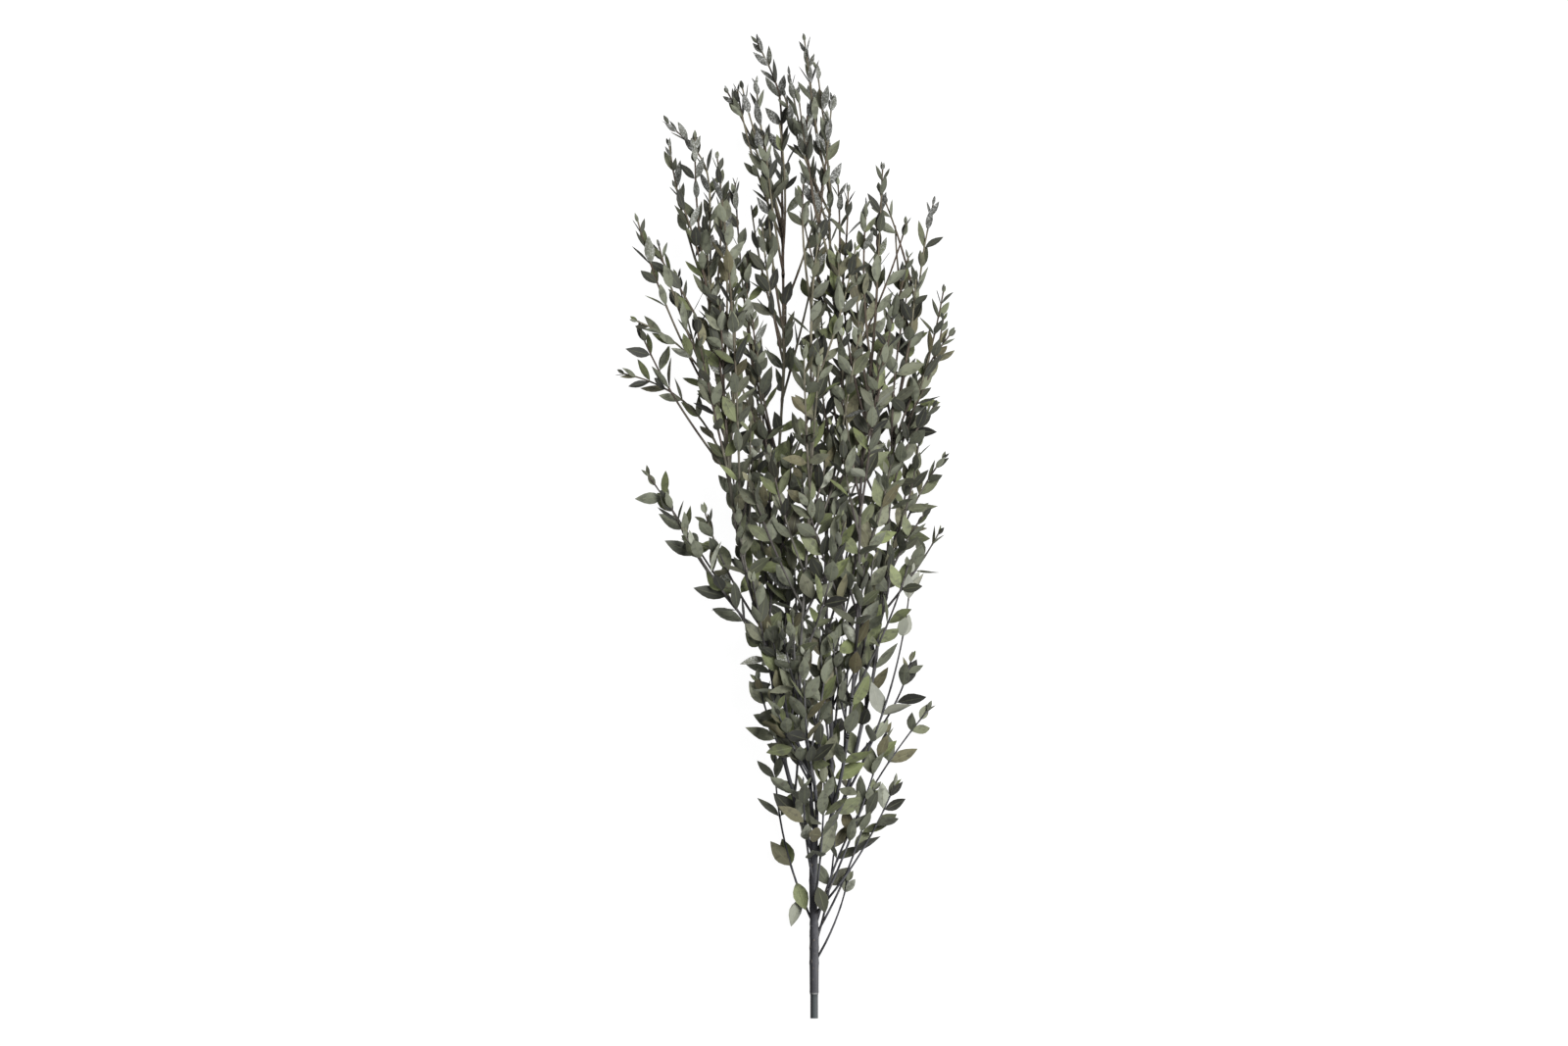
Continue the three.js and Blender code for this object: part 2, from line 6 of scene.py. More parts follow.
import json
import math
from collections import Counter
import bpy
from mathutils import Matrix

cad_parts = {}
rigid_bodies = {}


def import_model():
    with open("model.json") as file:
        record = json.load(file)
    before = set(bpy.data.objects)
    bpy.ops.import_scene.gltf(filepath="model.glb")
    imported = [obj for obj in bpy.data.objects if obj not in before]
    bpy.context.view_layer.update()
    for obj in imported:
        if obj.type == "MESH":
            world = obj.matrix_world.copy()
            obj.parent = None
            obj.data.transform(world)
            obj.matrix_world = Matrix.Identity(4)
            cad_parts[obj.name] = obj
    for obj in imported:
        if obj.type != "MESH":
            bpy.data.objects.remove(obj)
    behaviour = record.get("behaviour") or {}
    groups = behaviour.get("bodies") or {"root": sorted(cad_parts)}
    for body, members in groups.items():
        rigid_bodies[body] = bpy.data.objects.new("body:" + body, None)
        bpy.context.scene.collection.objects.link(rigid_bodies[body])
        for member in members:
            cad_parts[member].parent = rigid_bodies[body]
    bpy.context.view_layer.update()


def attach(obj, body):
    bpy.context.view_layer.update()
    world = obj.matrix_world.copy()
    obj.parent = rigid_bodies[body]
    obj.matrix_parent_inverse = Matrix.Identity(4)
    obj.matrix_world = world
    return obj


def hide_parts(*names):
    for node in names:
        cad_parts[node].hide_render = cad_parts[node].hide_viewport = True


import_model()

from types import SimpleNamespace

import bmesh
import bpy
import numpy as np
from mathutils import Vector


# The wood: one stem, cut square at its foot, that swells into a fork and parts into six bare boughs. It
# is one grown piece under thin dry bark, grey below and browner towards the tips. It lies on its foot,
# which is greener, a little thinner and ends in the pale face of the cut.
MM = 0.001
CUT_TO_ORIGIN = 12
ROUTE_HALVINGS = 30
BOW_MARKS = 200
SHORT_STEP = 0.0001
STEM_ROUTE = [
    (0, 0, 3.5, 3.5), (0, 24, 3.5, 3.5), (0, 48, 3.5, 3.5), (0, 72, 8.5, 3.3),
    (-0.5, 84, 12.5, 2.6), (-1, 108, 22, 2.5), (-0.5, 128, 30, 3.1), (0, 146, 36, 2.8),
]
STEM_SIDES = 20
BOUGH_SIDES = 12
BOUGH_STEPS = 11
COLLAR_AT = 20
FOOT_RADIUS = 3.15
BOUGHS = {
    "right_leader": (2.0, 1.0, 580, [
        (1, 132, 32), (9, 150, 36), (15, 172, 42), (14, 205, 49), (13, 260, 57), (10, 318, 62),
        (9, 361, 63), (12, 423, 65), (20, 463, 66), (22, 520, 66), (15, 586, 64), (12, 643, 60),
        (13, 672, 58), (3, 705, 56), (-2, 748, 54), (-8, 791, 50)]),
    "left_leader": (2.0, 1.0, 560, [
        (-1, 136, 32), (-8, 153, 36), (-14, 172, 39), (-27, 223, 43), (-33, 270, 45), (-36, 318, 46),
        (-36, 355, 46), (-32, 412, 45), (-28, 468, 44), (-25, 525, 43), (-25, 580, 41), (-26, 665, 40),
        (-27, 736, 38), (-33, 762, 37), (-46, 790, 34)]),
    "left_bough": (1.7, 0.95, 505, [
        (1, 148, 36), (-2, 170, 46), (-5, 202, 55), (-16, 230, 62), (-25, 257, 67), (-43, 318, 74),
        (-55, 360, 77), (-64, 405, 79), (-70, 452, 79), (-75, 505, 77), (-80, 555, 73), (-87, 600, 68),
        (-84, 650, 59), (-87, 686, 52), (-99, 706, 47), (-118, 724, 42)]),
    "right_bough": (1.8, 0.95, 475, [
        (9, 150, 36), (17, 164, 36), (27, 188, 34), (38, 237, 31), (48, 280, 29), (53, 320, 28),
        (57, 350, 28), (60, 390, 29), (60, 428, 30), (64, 468, 32), (69, 507, 34), (77, 547, 36),
        (84, 590, 38), (89, 625, 38), (96, 659, 36)]),
    "middle_bough": (1.6, 0.95, 470, [
        (0, 142, 34), (2, 166, 48), (0, 191, 58), (-5, 219, 68), (-10, 247, 77), (-12, 280, 85),
        (-10, 322, 93), (-7, 365, 99), (-4, 428, 103), (-2, 484, 103), (-3, 531, 100), (-2, 586, 94),
        (3, 634, 87), (8, 682, 79), (12, 717, 73), (14, 742, 68)]),
    "upper_bough": (1.5, 0.9, 548, [
        (14, 168, 41), (21, 195, 55), (26, 225, 67), (30, 260, 77), (33, 300, 85), (35, 340, 90),
        (36, 385, 92), (37, 430, 90), (40, 476, 86), (45, 525, 81), (49, 570, 75), (52, 626, 67),
        (55, 687, 58)]),
}


def dot(a, b):
    return (a * b).sum(-1)


def unit(vector):
    return vector / np.linalg.norm(vector)


def square_to(along):
    """The level and the upright direction square to a stem."""
    side = unit(np.cross(along, (0.0, 0.0, 1.0)))
    return side, np.cross(side, along)


def placed(x, y, z):
    return np.array((x, y - CUT_TO_ORIGIN, z), float)


class Route:
    """The smooth curve that a stem follows through its points."""

    def __init__(self, points):
        self.points = np.array([placed(*point[:3]) for point in points])

    def point(self, share):
        last = len(self.points) - 1
        step = min(int(last * share), last - 1)
        t = last * share - step
        a, b = self.points[step], self.points[step + 1]
        before = self.points[step - 1] if step else 2 * a - b
        after = self.points[step + 2] if step + 2 <= last else 2 * b - a
        lead, trail = 0.5 * (b - before), 0.5 * (after - a)
        bend = -3 * a + 3 * b - 2 * lead - trail
        return a + lead * t + bend * t ** 2 + (2 * a - 2 * b + lead + trail) * t ** 3

    def along(self, share):
        return unit(self.point(min(share + SHORT_STEP, 1)) - self.point(max(share - SHORT_STEP, 0)))

    def share_at(self, y):
        low, high = 0.0, 1.0
        for _ in range(ROUTE_HALVINGS):
            middle = (low + high) / 2
            if self.point(middle)[1] + CUT_TO_ORIGIN < y:
                low = middle
            else:
                high = middle
        return low


class BowedRoute(Route):
    """A stem's route from its root to its tip in one bow."""

    def point(self, share):
        start, middle, tip = self.points
        return (1 - share) ** 2 * start + 2 * (1 - share) * share * middle + share ** 2 * tip

    def __init__(self, start, middle, tip):
        self.points = np.array([start, middle, tip])
        marks = [self.point(i / BOW_MARKS) for i in range(BOW_MARKS + 1)]
        self.length = np.linalg.norm(np.diff(marks, axis=0), axis=1).sum()


class Stem:
    """A stem's centre line in equal steps of its route, thinning from its root to its tip."""

    def __init__(self, route, low, high, steps, thick, thin, parent=None):
        shares = [i / steps for i in range(steps + 1)]
        self.route, self.low, self.high, self.parent = route, low, high, parent
        self.centre = np.array([route.point(low + (high - low) * share) for share in shares])
        self.along = np.array([route.along(low + (high - low) * share) for share in shares])
        self.radius = np.array([thick + (thin - thick) * share for share in shares])
        self.steps = np.linalg.norm(np.diff(self.centre, axis=0), axis=1)
        self.joints = []

    def between(self, i, share):
        def mixed(values):
            return values[i - 1] + (values[i] - values[i - 1]) * share
        place = SimpleNamespace(centre=mixed(self.centre), along=unit(mixed(self.along)))
        place.radius, place.share = mixed(self.radius), (i - 1 + share) / len(self.steps)
        return place

    def at_y(self, y):
        past = np.nonzero(self.centre[:, 1] + CUT_TO_ORIGIN >= y)[0]
        i = max(1, past[0] if len(past) else 1)
        rise = self.centre[i][1] - self.centre[i - 1][1]
        return self.between(i, (y - CUT_TO_ORIGIN - self.centre[i - 1][1]) / rise)

    def at_length(self, length):
        for i, step in enumerate(self.steps, 1):
            if length <= step or i == len(self.steps):
                return self.between(i, length / step)
            length -= step

    def true_point(self, share):
        return self.route.point(self.low + (self.high - self.low) * share)

    def true_along(self, share):
        return self.route.along(self.low + (self.high - self.low) * share)


trunk = Stem(Route(STEM_ROUTE), 0, 1, len(STEM_ROUTE) - 1, 0, 0)
trunk.radius = np.array([point[3] for point in STEM_ROUTE])
boughs = {}
for name, (thick, thin, woody, points) in BOUGHS.items():
    route = Route(points)
    boughs[name] = Stem(route, 0, route.share_at(woody), BOUGH_STEPS, thick, thin)
    boughs[name].woody = woody


class Wire:
    """What one socket of a finish gives. Sums of wires and numbers add their Math nodes."""

    def __init__(self, finish, socket):
        self.finish = finish
        self.socket = socket

    def math(self, operation, *values):
        return self.finish.node("ShaderNodeMath", {"operation": operation}, dict(enumerate(values)))

    def __add__(self, other):
        return self.math("ADD", self, other)

    def __sub__(self, other):
        return self.math("SUBTRACT", self, other)

    def __rsub__(self, other):
        return self.math("SUBTRACT", other, self)

    def __mul__(self, other):
        return self.math("MULTIPLY", self, other)

    __radd__ = __add__
    __rmul__ = __mul__

    def size(self):
        return self.math("ABSOLUTE", self)

    def held(self):
        """Kept from 0 to 1."""
        return self.math("MINIMUM", self.math("MAXIMUM", self, 0.0), 1.0)

    def rising(self, low, high):
        """0 up to low, 1 from high, and smooth between. It falls where low is past high."""
        ends = {1: low, 2: high} if low <= high else {1: high, 2: low, 3: 1.0, 4: 0.0}
        settings = {"interpolation_type": "SMOOTHSTEP"}
        return self.finish.node("ShaderNodeMapRange", settings, {0: self, **ends})

    def part(self, axis):
        return self.finish.node("ShaderNodeSeparateXYZ", {}, {0: self}, axis)


class Finish:
    """A material made of nodes. What is the same all over is set on the shader's own sockets."""

    def __init__(self, name, **steady):
        self.material = bpy.data.materials.new(name)
        self.material.use_nodes = True
        self.tree = self.material.node_tree
        self.shader = self.tree.nodes["Principled BSDF"]
        for socket, value in steady.items():
            self.shader.inputs[socket.replace("_", " ")].default_value = value

    def feed(self, socket, value):
        if isinstance(value, Wire):
            self.tree.links.new(value.socket, socket)
        else:
            socket.default_value = value

    def node(self, kind, settings, feeds, output=0):
        made = self.tree.nodes.new(kind)
        for name, value in settings.items():
            setattr(made, name, value)
        for socket, value in feeds.items():
            self.feed(made.inputs[socket], value)
        return Wire(self, made.outputs[output])

    def place(self, stretch=(1, 1, 1)):
        """Where a point lies on the branch, in metres, drawn out or squeezed for a pattern."""
        here = self.node("ShaderNodeTexCoord", {}, {}, "Object")
        return self.node("ShaderNodeVectorMath", {"operation": "MULTIPLY"}, {0: here, 1: stretch})

    def cloud(self, place, scale, detail=3.0, roughness=0.55):
        feeds = {"Vector": place, "Scale": scale, "Detail": detail, "Roughness": roughness}
        return self.node("ShaderNodeTexNoise", {}, feeds, "Fac")

    def blend(self, a, b, share):
        return self.node("ShaderNodeMix", {"data_type": "RGBA"}, {0: share, 6: a, 7: b}, 2)

    def mark(self, name):
        return self.node("ShaderNodeAttribute", {"attribute_name": name}, {}, "Fac")

    def relief(self, height, depth):
        """Raises the surface by up to depth metres."""
        bump = self.node("ShaderNodeBump", {}, {"Height": height, "Distance": depth, "Strength": 1.0})
        self.feed(self.shader.inputs["Normal"], bump)

    def colour(self, value):
        self.feed(self.shader.inputs["Base Color"], value)


def tint(red, green, blue):
    """A colour as it is seen, 0 to 255, as the light that it reflects."""
    def light(value):
        value /= 255
        return value / 12.92 if value <= 0.04045 else ((value + 0.055) / 1.055) ** 2.4
    return (light(red), light(green), light(blue), 1.0)


BROWN_FROM, BROWN_TO = 0.16, 0.62
GREENER_FROM, GREENER_TO = 0.0095, 0.007
RING_AT, RING_OUTER, RING_INNER = 0.0082, 0.0009, 0.0004
SHADED_FROM, SHADED_TO = 0.5, 0.1
bark = Finish("dry_bark", Roughness=0.82, Specular_IOR_Level=0.3)
height_up = bark.place().part(1)
grain = bark.cloud(bark.place((900, 60, 900)), 1.0, 4.0, 0.6)
blotch = bark.cloud(bark.place((60, 25, 60)), 1.0)
# Which way the wood faces across the branch, used for painted light and shade on the lower wood.
painted_light_side = bark.node("ShaderNodeTexCoord", {}, {}, "Normal").part(0)
grey_bark = bark.blend(tint(53, 53, 58), tint(104, 104, 109), (grain * 0.9 + blotch * 0.5 - 0.2).held())
red_bark = bark.blend(tint(62, 52, 48), tint(112, 98, 84), grain)
straw_bark = bark.blend(tint(96, 92, 80), tint(152, 146, 122), grain)
streaks = bark.cloud(bark.place((40, 3, 40)), 1.0, 2.0)
twig_bark = bark.blend(red_bark, straw_bark, streaks.rising(0.42, 0.6))
foot_bark = bark.blend(tint(60, 64, 66), tint(102, 108, 110), grain)
colour = bark.blend(grey_bark, twig_bark, height_up.rising(BROWN_FROM, BROWN_TO))
colour = bark.blend(colour, foot_bark, height_up.rising(GREENER_FROM, GREENER_TO))
pale_ring = (height_up - RING_AT).size().rising(RING_OUTER, RING_INNER)
colour = bark.blend(colour, tint(166, 166, 164), pale_ring * 0.6)
lower_wood = height_up.rising(SHADED_FROM, SHADED_TO)
# Painted shade darkens the -X side of the lower wood, and painted light brightens its +X side, as if lit
# from the right.
colour = bark.blend(colour, tint(22, 22, 25), painted_light_side.rising(0.35, -1.0) * lower_wood * 0.85)
colour = bark.blend(colour, tint(140, 140, 141), painted_light_side.rising(0.1, 1.0) * lower_wood * 0.4)
lenticel = bark.cloud(bark.place((420, 160, 420)), 1.0, 1.0).rising(0.66, 0.74)
colour = bark.blend(colour, tint(150, 140, 126), lenticel * 0.45)
pores = bark.cloud(bark.place((1800, 1800, 1800)), 1.0)
cut_wood = bark.blend(tint(172, 158, 128), tint(138, 122, 94), pores)
bark.colour(bark.blend(colour, cut_wood, bark.mark("cut")))
bark.relief(grain + lenticel * 0.6, 0.00025)


def set_across(ring, centre, along, radius):
    """Sets a ring of corners, kept in order, round a centre and square to a direction."""
    side, up = square_to(along)
    count = len(ring)
    for i, corner in enumerate(ring):
        turn = 2 * math.pi * (i + 0.5) / count - math.pi / 2
        point = centre + radius * (math.cos(turn) * side + math.sin(turn) * up)
        corner.co = Vector(point) * MM


def draw_out(bm, stations, sides):
    """Draws a closed round stem out of a disc, ring by ring, and gives its first face."""
    disc = bmesh.ops.create_circle(bm, cap_ends=True, segments=sides, radius=MM)
    ring = disc["verts"]
    first = face = ring[0].link_faces[0]
    set_across(ring, *stations[0])
    for station in stations[1:]:
        grown = bmesh.ops.extrude_face_region(bm, geom=[face])["geom"]
        made = {item for item in grown if isinstance(item, bmesh.types.BMVert)}
        face = next(item for item in grown if isinstance(item, bmesh.types.BMFace))
        above = []
        for corner in ring:
            ends = [edge.other_vert(corner) for edge in corner.link_edges]
            above += [end for end in ends if end in made]
        ring = above
        set_across(ring, *station)
    return first


def mesh_of(bm, name):
    mesh = bpy.data.meshes.new(name)
    bm.to_mesh(mesh)
    bm.free()
    return mesh


def add_object(name, data):
    added = bpy.data.objects.new(name, data)
    bpy.context.scene.collection.objects.link(added)
    return added


def finish_piece(name, bm, finish, replaced=()):
    """Makes a riding piece of a finished mesh, in place of the solids that it stands for."""
    for face in bm.faces:
        face.smooth = True
    piece = add_object(name, mesh_of(bm, name))
    piece.data.materials.append(finish.material)
    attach(piece, "root")
    if replaced:
        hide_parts(*replaced)


# The leafy stems. Thin green wood, as thick as a match at the root and a millimetre at the tip, grows out
# of the boughs in one piece with them: the six leafy ends, the long side stems that give the branch its
# outline, and shorter ones. The inner and the filling stems are only in the scene.
SEAT_GAP = 0.3
LEADER_STEPS = 6
STEP_LENGTH = 52
ROOT_RADIUS = 0.95
TIP_RADIUS = 0.5
LOWEST, HIGHEST = 2.2, 128
CLEAR_OF_STEMS = 0.9
LIFTS = (0, 2, -2, 4, -4, 6, -6, 9, -9, 12, -12)
GOLDEN_TURN = math.radians(137.5)
# Its bearer, the height of its root, its tip, its bow, and the share of it that is bare.
OUTLINE_STEMS = [
    ("left_bough", 520, (-136, 631, 62), (9, -4, 8)),
    ("left_bough", 466, (-143, 564, 88), (14, 12, 4)),
    ("left_bough", 424, (-154, 522, 60), (15, 17, -8)),
    ("left_leader", 286, (-134, 440, 22), (1, 1, -4)),
    ("left_leader", 655, (-58, 752, 62), (-2, -1, 8)),
    ("left_leader", 630, (-70, 750, 20), (5, 2, -2)),
    ("left_bough", 384, (-78, 694, 104), (5, 0, 9)),
    ("left_leader", 420, (-64, 676, 24), (-5, 0, -7)),
    ("left_bough", 540, (-112, 672, 84), (4, 4, 6)),
    ("right_leader", 556, (27, 668, 88), (2, 2, 6)),
    ("upper_bough", 530, (42, 656, 88), (-4, 0, 5)),
    ("right_bough", 452, (109, 553, 52), (-6, 3, 5)),
    ("right_bough", 330, (104, 454, 22), (-8, 3, -4)),
    ("right_bough", 394, (96, 495, 60), (-9, 4, 8)),
    ("right_bough", 350, (88, 408, 54), (-2, 1, 5)),
    ("right_bough", 178, (78, 362, 52), (10, -4, 6)),
    ("stem", 70, (92, 250, 24), (-11, 5, 3), 0.15),
    ("stem", 45, (27, 112, 12), (3, -1, 1), 0.55),
    ("stem", 76, (-32, 216, 16), (-8, -2, -3), 0.2),
    ("stem", 57, (17, 160, 8), (4, -1, -1), 0.3),
]
SIDE_STEMS = {
    "right_leader": (168, 540, 8, 60, 150), "left_leader": (180, 530, 6, 60, 150),
    "left_bough": (205, 470, 4, 70, 130), "right_bough": (215, 440, 3, 60, 105),
    "middle_bough": (170, 450, 6, 60, 150), "upper_bough": (190, 430, 5, 70, 150),
}
SIDE_STEM_ANGLE = math.radians(24)
INNER_STEMS = {
    "right_leader": (160, 570, 12, 70, 110), "left_leader": (165, 620, 15, 70, 110),
    "left_bough": (180, 590, 15, 70, 105), "right_bough": (280, 590, 12, 60, 90),
    "middle_bough": (160, 560, 11, 70, 110), "upper_bough": (220, 530, 10, 70, 105),
}
FILLING_STEMS = [
    ("right_leader", 606, (-13, 748, 66), (-3, 0, 3)),
    ("left_leader", 532, (-42, 640, 58), (-2, 0, 3)),
    ("left_bough", 492, (-125, 624, 78), (-4, 0, 4), 0.2),
    ("left_bough", 470, (-110, 600, 56), (-3, 0, -3)),
    ("left_bough", 448, (-66, 590, 92), (4, 0, 4)),
    ("right_bough", 440, (104, 588, 50), (4, 0, 4)),
    ("right_bough", 455, (76, 592, 52), (-4, 0, 4)),
    ("left_bough", 306, (-119, 422, 60), (-8, 0, -2), 0.3),
    ("left_bough", 318, (-88, 410, 66), (-5, 0, -2), 0.1),
    ("left_leader", 340, (-44, 462, 66), (-4, 0, 5)),
    ("upper_bough", 470, (60, 574, 62), (4, 0, -4)),
    ("left_leader", 556, (-38, 686, 54), (-3, 0, 4)),
    ("stem", 66, (47, 186, 30), (4, -4, 2), 0.5),
    ("right_leader", 664, (2, 768, 62), (1, 0, 3)),
    ("right_leader", 636, (-20, 764, 46), (-3, 0, -2)),
    ("stem", 90, (8, 202, 58), (2, -4, 3), 0.25),
    ("stem", 112, (-9, 196, 66), (-2, -2, 3), 0.2),
    ("left_bough", 570, (-96, 712, 66), (-4, 0, 4)),
    ("middle_bough", 186, (-8, 296, 102), (-3, 0, 4), 0.1),
    ("right_leader", 205, (4, 330, 84), (-2, 0, 4), 0.1),
    ("left_leader", 330, (-18, 466, 70), (3, 0, 3), 0.1),
    ("stem", 78, (58, 232, 36), (2, -4, 2), 0.35),
    ("left_bough", 500, (-72, 646, 82), (3, 0, 3)),
    ("left_bough", 486, (-142, 644, 74), (-6, -2, 4), 0.5),
    ("left_bough", 440, (-140, 556, 72), (-8, 4, -3), 0.5),
    ("left_bough", 580, (-117, 706, 58), (-4, 0, -2), 0.2),
    ("left_bough", 566, (-76, 684, 66), (3, 0, -3)),
    ("left_leader", 640, (-47, 756, 52), (-3, 0, 3)),
    ("right_leader", 650, (-24, 746, 50), (-3, 0, -2)),
    ("right_leader", 668, (-6, 777, 74), (-2, 0, 3)),
    ("right_leader", 560, (19, 674, 74), (2, 0, 3)),
    ("right_bough", 372, (84, 464, 44), (4, 0, -2)),
    ("left_leader", 420, (-46, 540, 60), (-2, 0, 3)),
    ("left_leader", 452, (-54, 616, 46), (-8, 0, -3), 0.2),
    ("left_leader", 620, (-28, 722, 64), (3, 0, 3)),
    ("upper_bough", 520, (50, 642, 64), (3, 0, -3), 0.2),
    ("upper_bough", 420, (22, 552, 92), (-4, 0, 4), 0.2),
    ("right_bough", 210, (78, 290, 40), (6, -2, -2), 0.5),
    ("stem", 84, (65, 190, 34), (4, -4, 2), 0.6),
    ("middle_bough", 575, (-9, 674, 86), (-3, 0, 2), 0.3),
    ("middle_bough", 640, (-6, 728, 84), (-3, 0, 2)),
    ("right_bough", 470, (104, 566, 56), (6, -4, 2), 0.3),
    ("upper_bough", 505, (34, 614, 92), (-3, 0, 3), 0.1),
    ("left_bough", 440, (-84, 590, 84), (2, 0, 4), 0.2),
    ("right_leader", 250, (47, 372, 88), (6, 0, 3), 0.3),
    ("left_leader", 630, (-62, 750, 56), (-4, 0, 3), 0.2),
]
INNER_STEM_ANGLE = math.radians(17)
LEAN_DRAW = (0.75, 1.25)
STEM_LENGTH_DRAW = (0.85, 1.15)
SIDE_STEM_BOW = 0.03
EDGE_MARGIN = 16
FREE_AT_ROOT, FREE_PER_RADIUS = 5, 4
STEM_SWELLING, PAIR_SWELLING = 1.0, 0.5
OPENING_FROM, OPENING_TO = 475, 635
OPENING_LEFT, OPENING_RIGHT = -23, 4
# Gaps in the spray, where no added leaf is set: left, right, low and high.
LEAFLESS_PLACES = [
    (-32, 0, 566, 640), (-124, -106, 488, 505), (-108, -78, 474, 491), (-108, -92, 520, 550),
    (-94, -79, 507, 523), (-110, -79, 357, 375), (-64, -50, 640, 656), (-20, -5, 536, 552),
    (-124, -106, 549, 568), (-62, -48, 638, 686), (-33, -18, 654, 670), (-62, -48, 338, 354),
    (-78, -62, 384, 412), (58, 74, 264, 278), (-33, -18, 489, 505), (58, 74, 608, 655),
    (42, 58, 276, 300), (56, 74, 322, 356), (86, 104, 368, 400), (13, 32, 94, 130),
    (-20, -4, 116, 146), (-3, 13, 744, 760), (-18, -3, 729, 745), (-33, -18, 714, 730),
    (12, 28, 714, 730), (-63, -47, 699, 730), (-123, -108, 640, 682), (-108, -92, 609, 640),
    (-138, -122, 519, 535), (-123, -107, 383, 399), (88, 103, 458, 474),
]
SPRAY_HEIGHTS = (150, 250, 330, 420, 520, 600, 680, 760)
SPRAY_LEFT = (-45, -58, -70, -80, -88, -106, -100, -60)
SPRAY_RIGHT = (25, 56, 64, 92, 98, 98, 66, 25)


class SeededDraw:
    """Numbers from 0 to 1, the same in the same order on every run."""

    def __init__(self, seed):
        self.state = seed

    def __call__(self):
        whole = 0xFFFFFFFF
        self.state = (self.state + 0x6D2B79F5) & whole
        t = (self.state ^ (self.state >> 15)) * (1 | self.state) & whole
        t = ((t + ((t ^ (t >> 7)) * (61 | t) & whole)) & whole) ^ t
        return (t ^ (t >> 14)) / 4294967296

    def between(self, low, high):
        return low + (high - low) * self()


def stretch_gap(a0, a1, b0, b1):
    """The distance between straight stretches."""
    u, v, w = a1 - a0, b1 - b0, a0 - b0
    uu, uv, vv, uw, vw = dot(u, u), dot(u, v), dot(v, v), dot(u, w), dot(v, w)
    cross = uu * vv - uv * uv
    open_angle = cross > 1e-9
    s = np.where(open_angle, np.clip((uv * vw - vv * uw) / np.where(open_angle, cross, 1), 0, 1), 0)
    t = np.clip((uv * s + vw) / vv, 0, 1)
    s = np.clip((uv * t - uw) / uu, 0, 1)
    return np.linalg.norm(w + u * s[..., None] - v * t[..., None], axis=-1)


def gap_to(stem, others, skip):
    """The least gap from a stem, from "skip" along it, to other stems, less their radii."""
    if not others:
        return math.inf
    starts, ends, radii, run = [], [], [], 0
    for a, b, step, radius in zip(stem.centre, stem.centre[1:], stem.steps, stem.radius):
        low = max(0, skip - run)
        run += step
        if low < step:
            starts.append(a + (b - a) * low / step)
            ends.append(b)
            radii.append(radius)
    other_starts = np.concatenate([other.centre[:-1] for other in others])
    other_ends = np.concatenate([other.centre[1:] for other in others])
    other_radii = np.concatenate([other.radius[1:] for other in others])
    gaps = stretch_gap(np.array(starts)[:, None], np.array(ends)[:, None], other_starts, other_ends)
    return (gaps - np.array(radii)[:, None] - other_radii).min()


def keep_off_table(point):
    point[2] = min(max(point[2], LOWEST), HIGHEST)
    return point


def add_leafy_stem(stem, draw, bare=0):
    """A stem on bare wood starts a node. One on a leafy stem joins that one's node."""
    stem.bare = bare
    stem.turn = draw.between(0, 2 * math.pi)
    stem.node = getattr(stem.parent, "node", None) or SimpleNamespace(stems=[])
    stem.node.stems.append(stem)
    leafy_stems.append(stem)


def add_side_stem(parent, root, tip, bow, draw, *bare):
    """Grows a bowed stem, lifted in its middle until it clears all the others."""
    keep_off_table(tip)
    best = None
    free = FREE_AT_ROOT + FREE_PER_RADIUS * root.radius
    for lift in LIFTS:
        middle = (root.centre + tip) * 0.5 + 2 * bow
        middle[2] += 2 * lift
        route = BowedRoute(root.centre, keep_off_table(middle), tip)
        steps = max(2, math.floor(route.length / STEP_LENGTH + 0.5))
        stem = Stem(route, 0, 1, steps, ROOT_RADIUS, TIP_RADIUS, parent)
        everything = [trunk, *boughs.values(), *leafy_stems]
        kin = [other for other in everything if other is parent or other.parent is parent]
        strangers = [other for other in everything if other not in kin]
        gap = min(gap_to(stem, kin, free), gap_to(stem, strangers, 0))
        if best is None or gap > best[0]:
            best = (gap, stem)
        if gap > CLEAR_OF_STEMS:
            break
    parent.joints.append((root.share, STEM_SWELLING))
    add_leafy_stem(best[1], draw, *bare)


def add_stems_round(bough, first, last, count, shortest, longest, angle, draw, inside=False):
    """Grows side stems off a bough, one at each golden turn round it."""
    turn = draw.between(0, 2 * math.pi)
    for i in range(count):
        share = (i + 0.5) / count
        height = first + (last - first) * share
        bearer = bough if height < bough.woody else bough.leafy_end
        root = bearer.at_y(height)
        side, up = square_to(root.along)
        turn += GOLDEN_TURN
        outward = side * math.cos(turn) + up * math.sin(turn)
        lean = angle * draw.between(*LEAN_DRAW)
        length = (shortest + (longest - shortest) * math.sqrt(share)) * draw.between(*STEM_LENGTH_DRAW)
        tip = root.centre + root.along * length * math.cos(lean) + outward * length * math.sin(lean)
        if inside:
            height = tip[1] + CUT_TO_ORIGIN
            left, right = (np.interp(height, SPRAY_HEIGHTS, edge) for edge in (SPRAY_LEFT, SPRAY_RIGHT))
            tip[0] = min(max(tip[0], left + EDGE_MARGIN), right - EDGE_MARGIN)
            if OPENING_FROM < height < OPENING_TO and OPENING_LEFT < tip[0] < OPENING_RIGHT:
                on_left = root.centre[0] < (OPENING_LEFT + OPENING_RIGHT) / 2
                tip[0] = OPENING_LEFT if on_left else OPENING_RIGHT
        add_side_stem(bearer, root, tip, outward * SIDE_STEM_BOW * length, draw)


def add_listed_stems(listed, draw):
    for bearer, height, tip, bow, *bare in listed:
        bearer = boughs.get(bearer, trunk)
        if height > getattr(bearer, "woody", math.inf):
            bearer = bearer.leafy_end
        add_side_stem(bearer, bearer.at_y(height), placed(*tip), np.array(bow, float), draw, *bare)


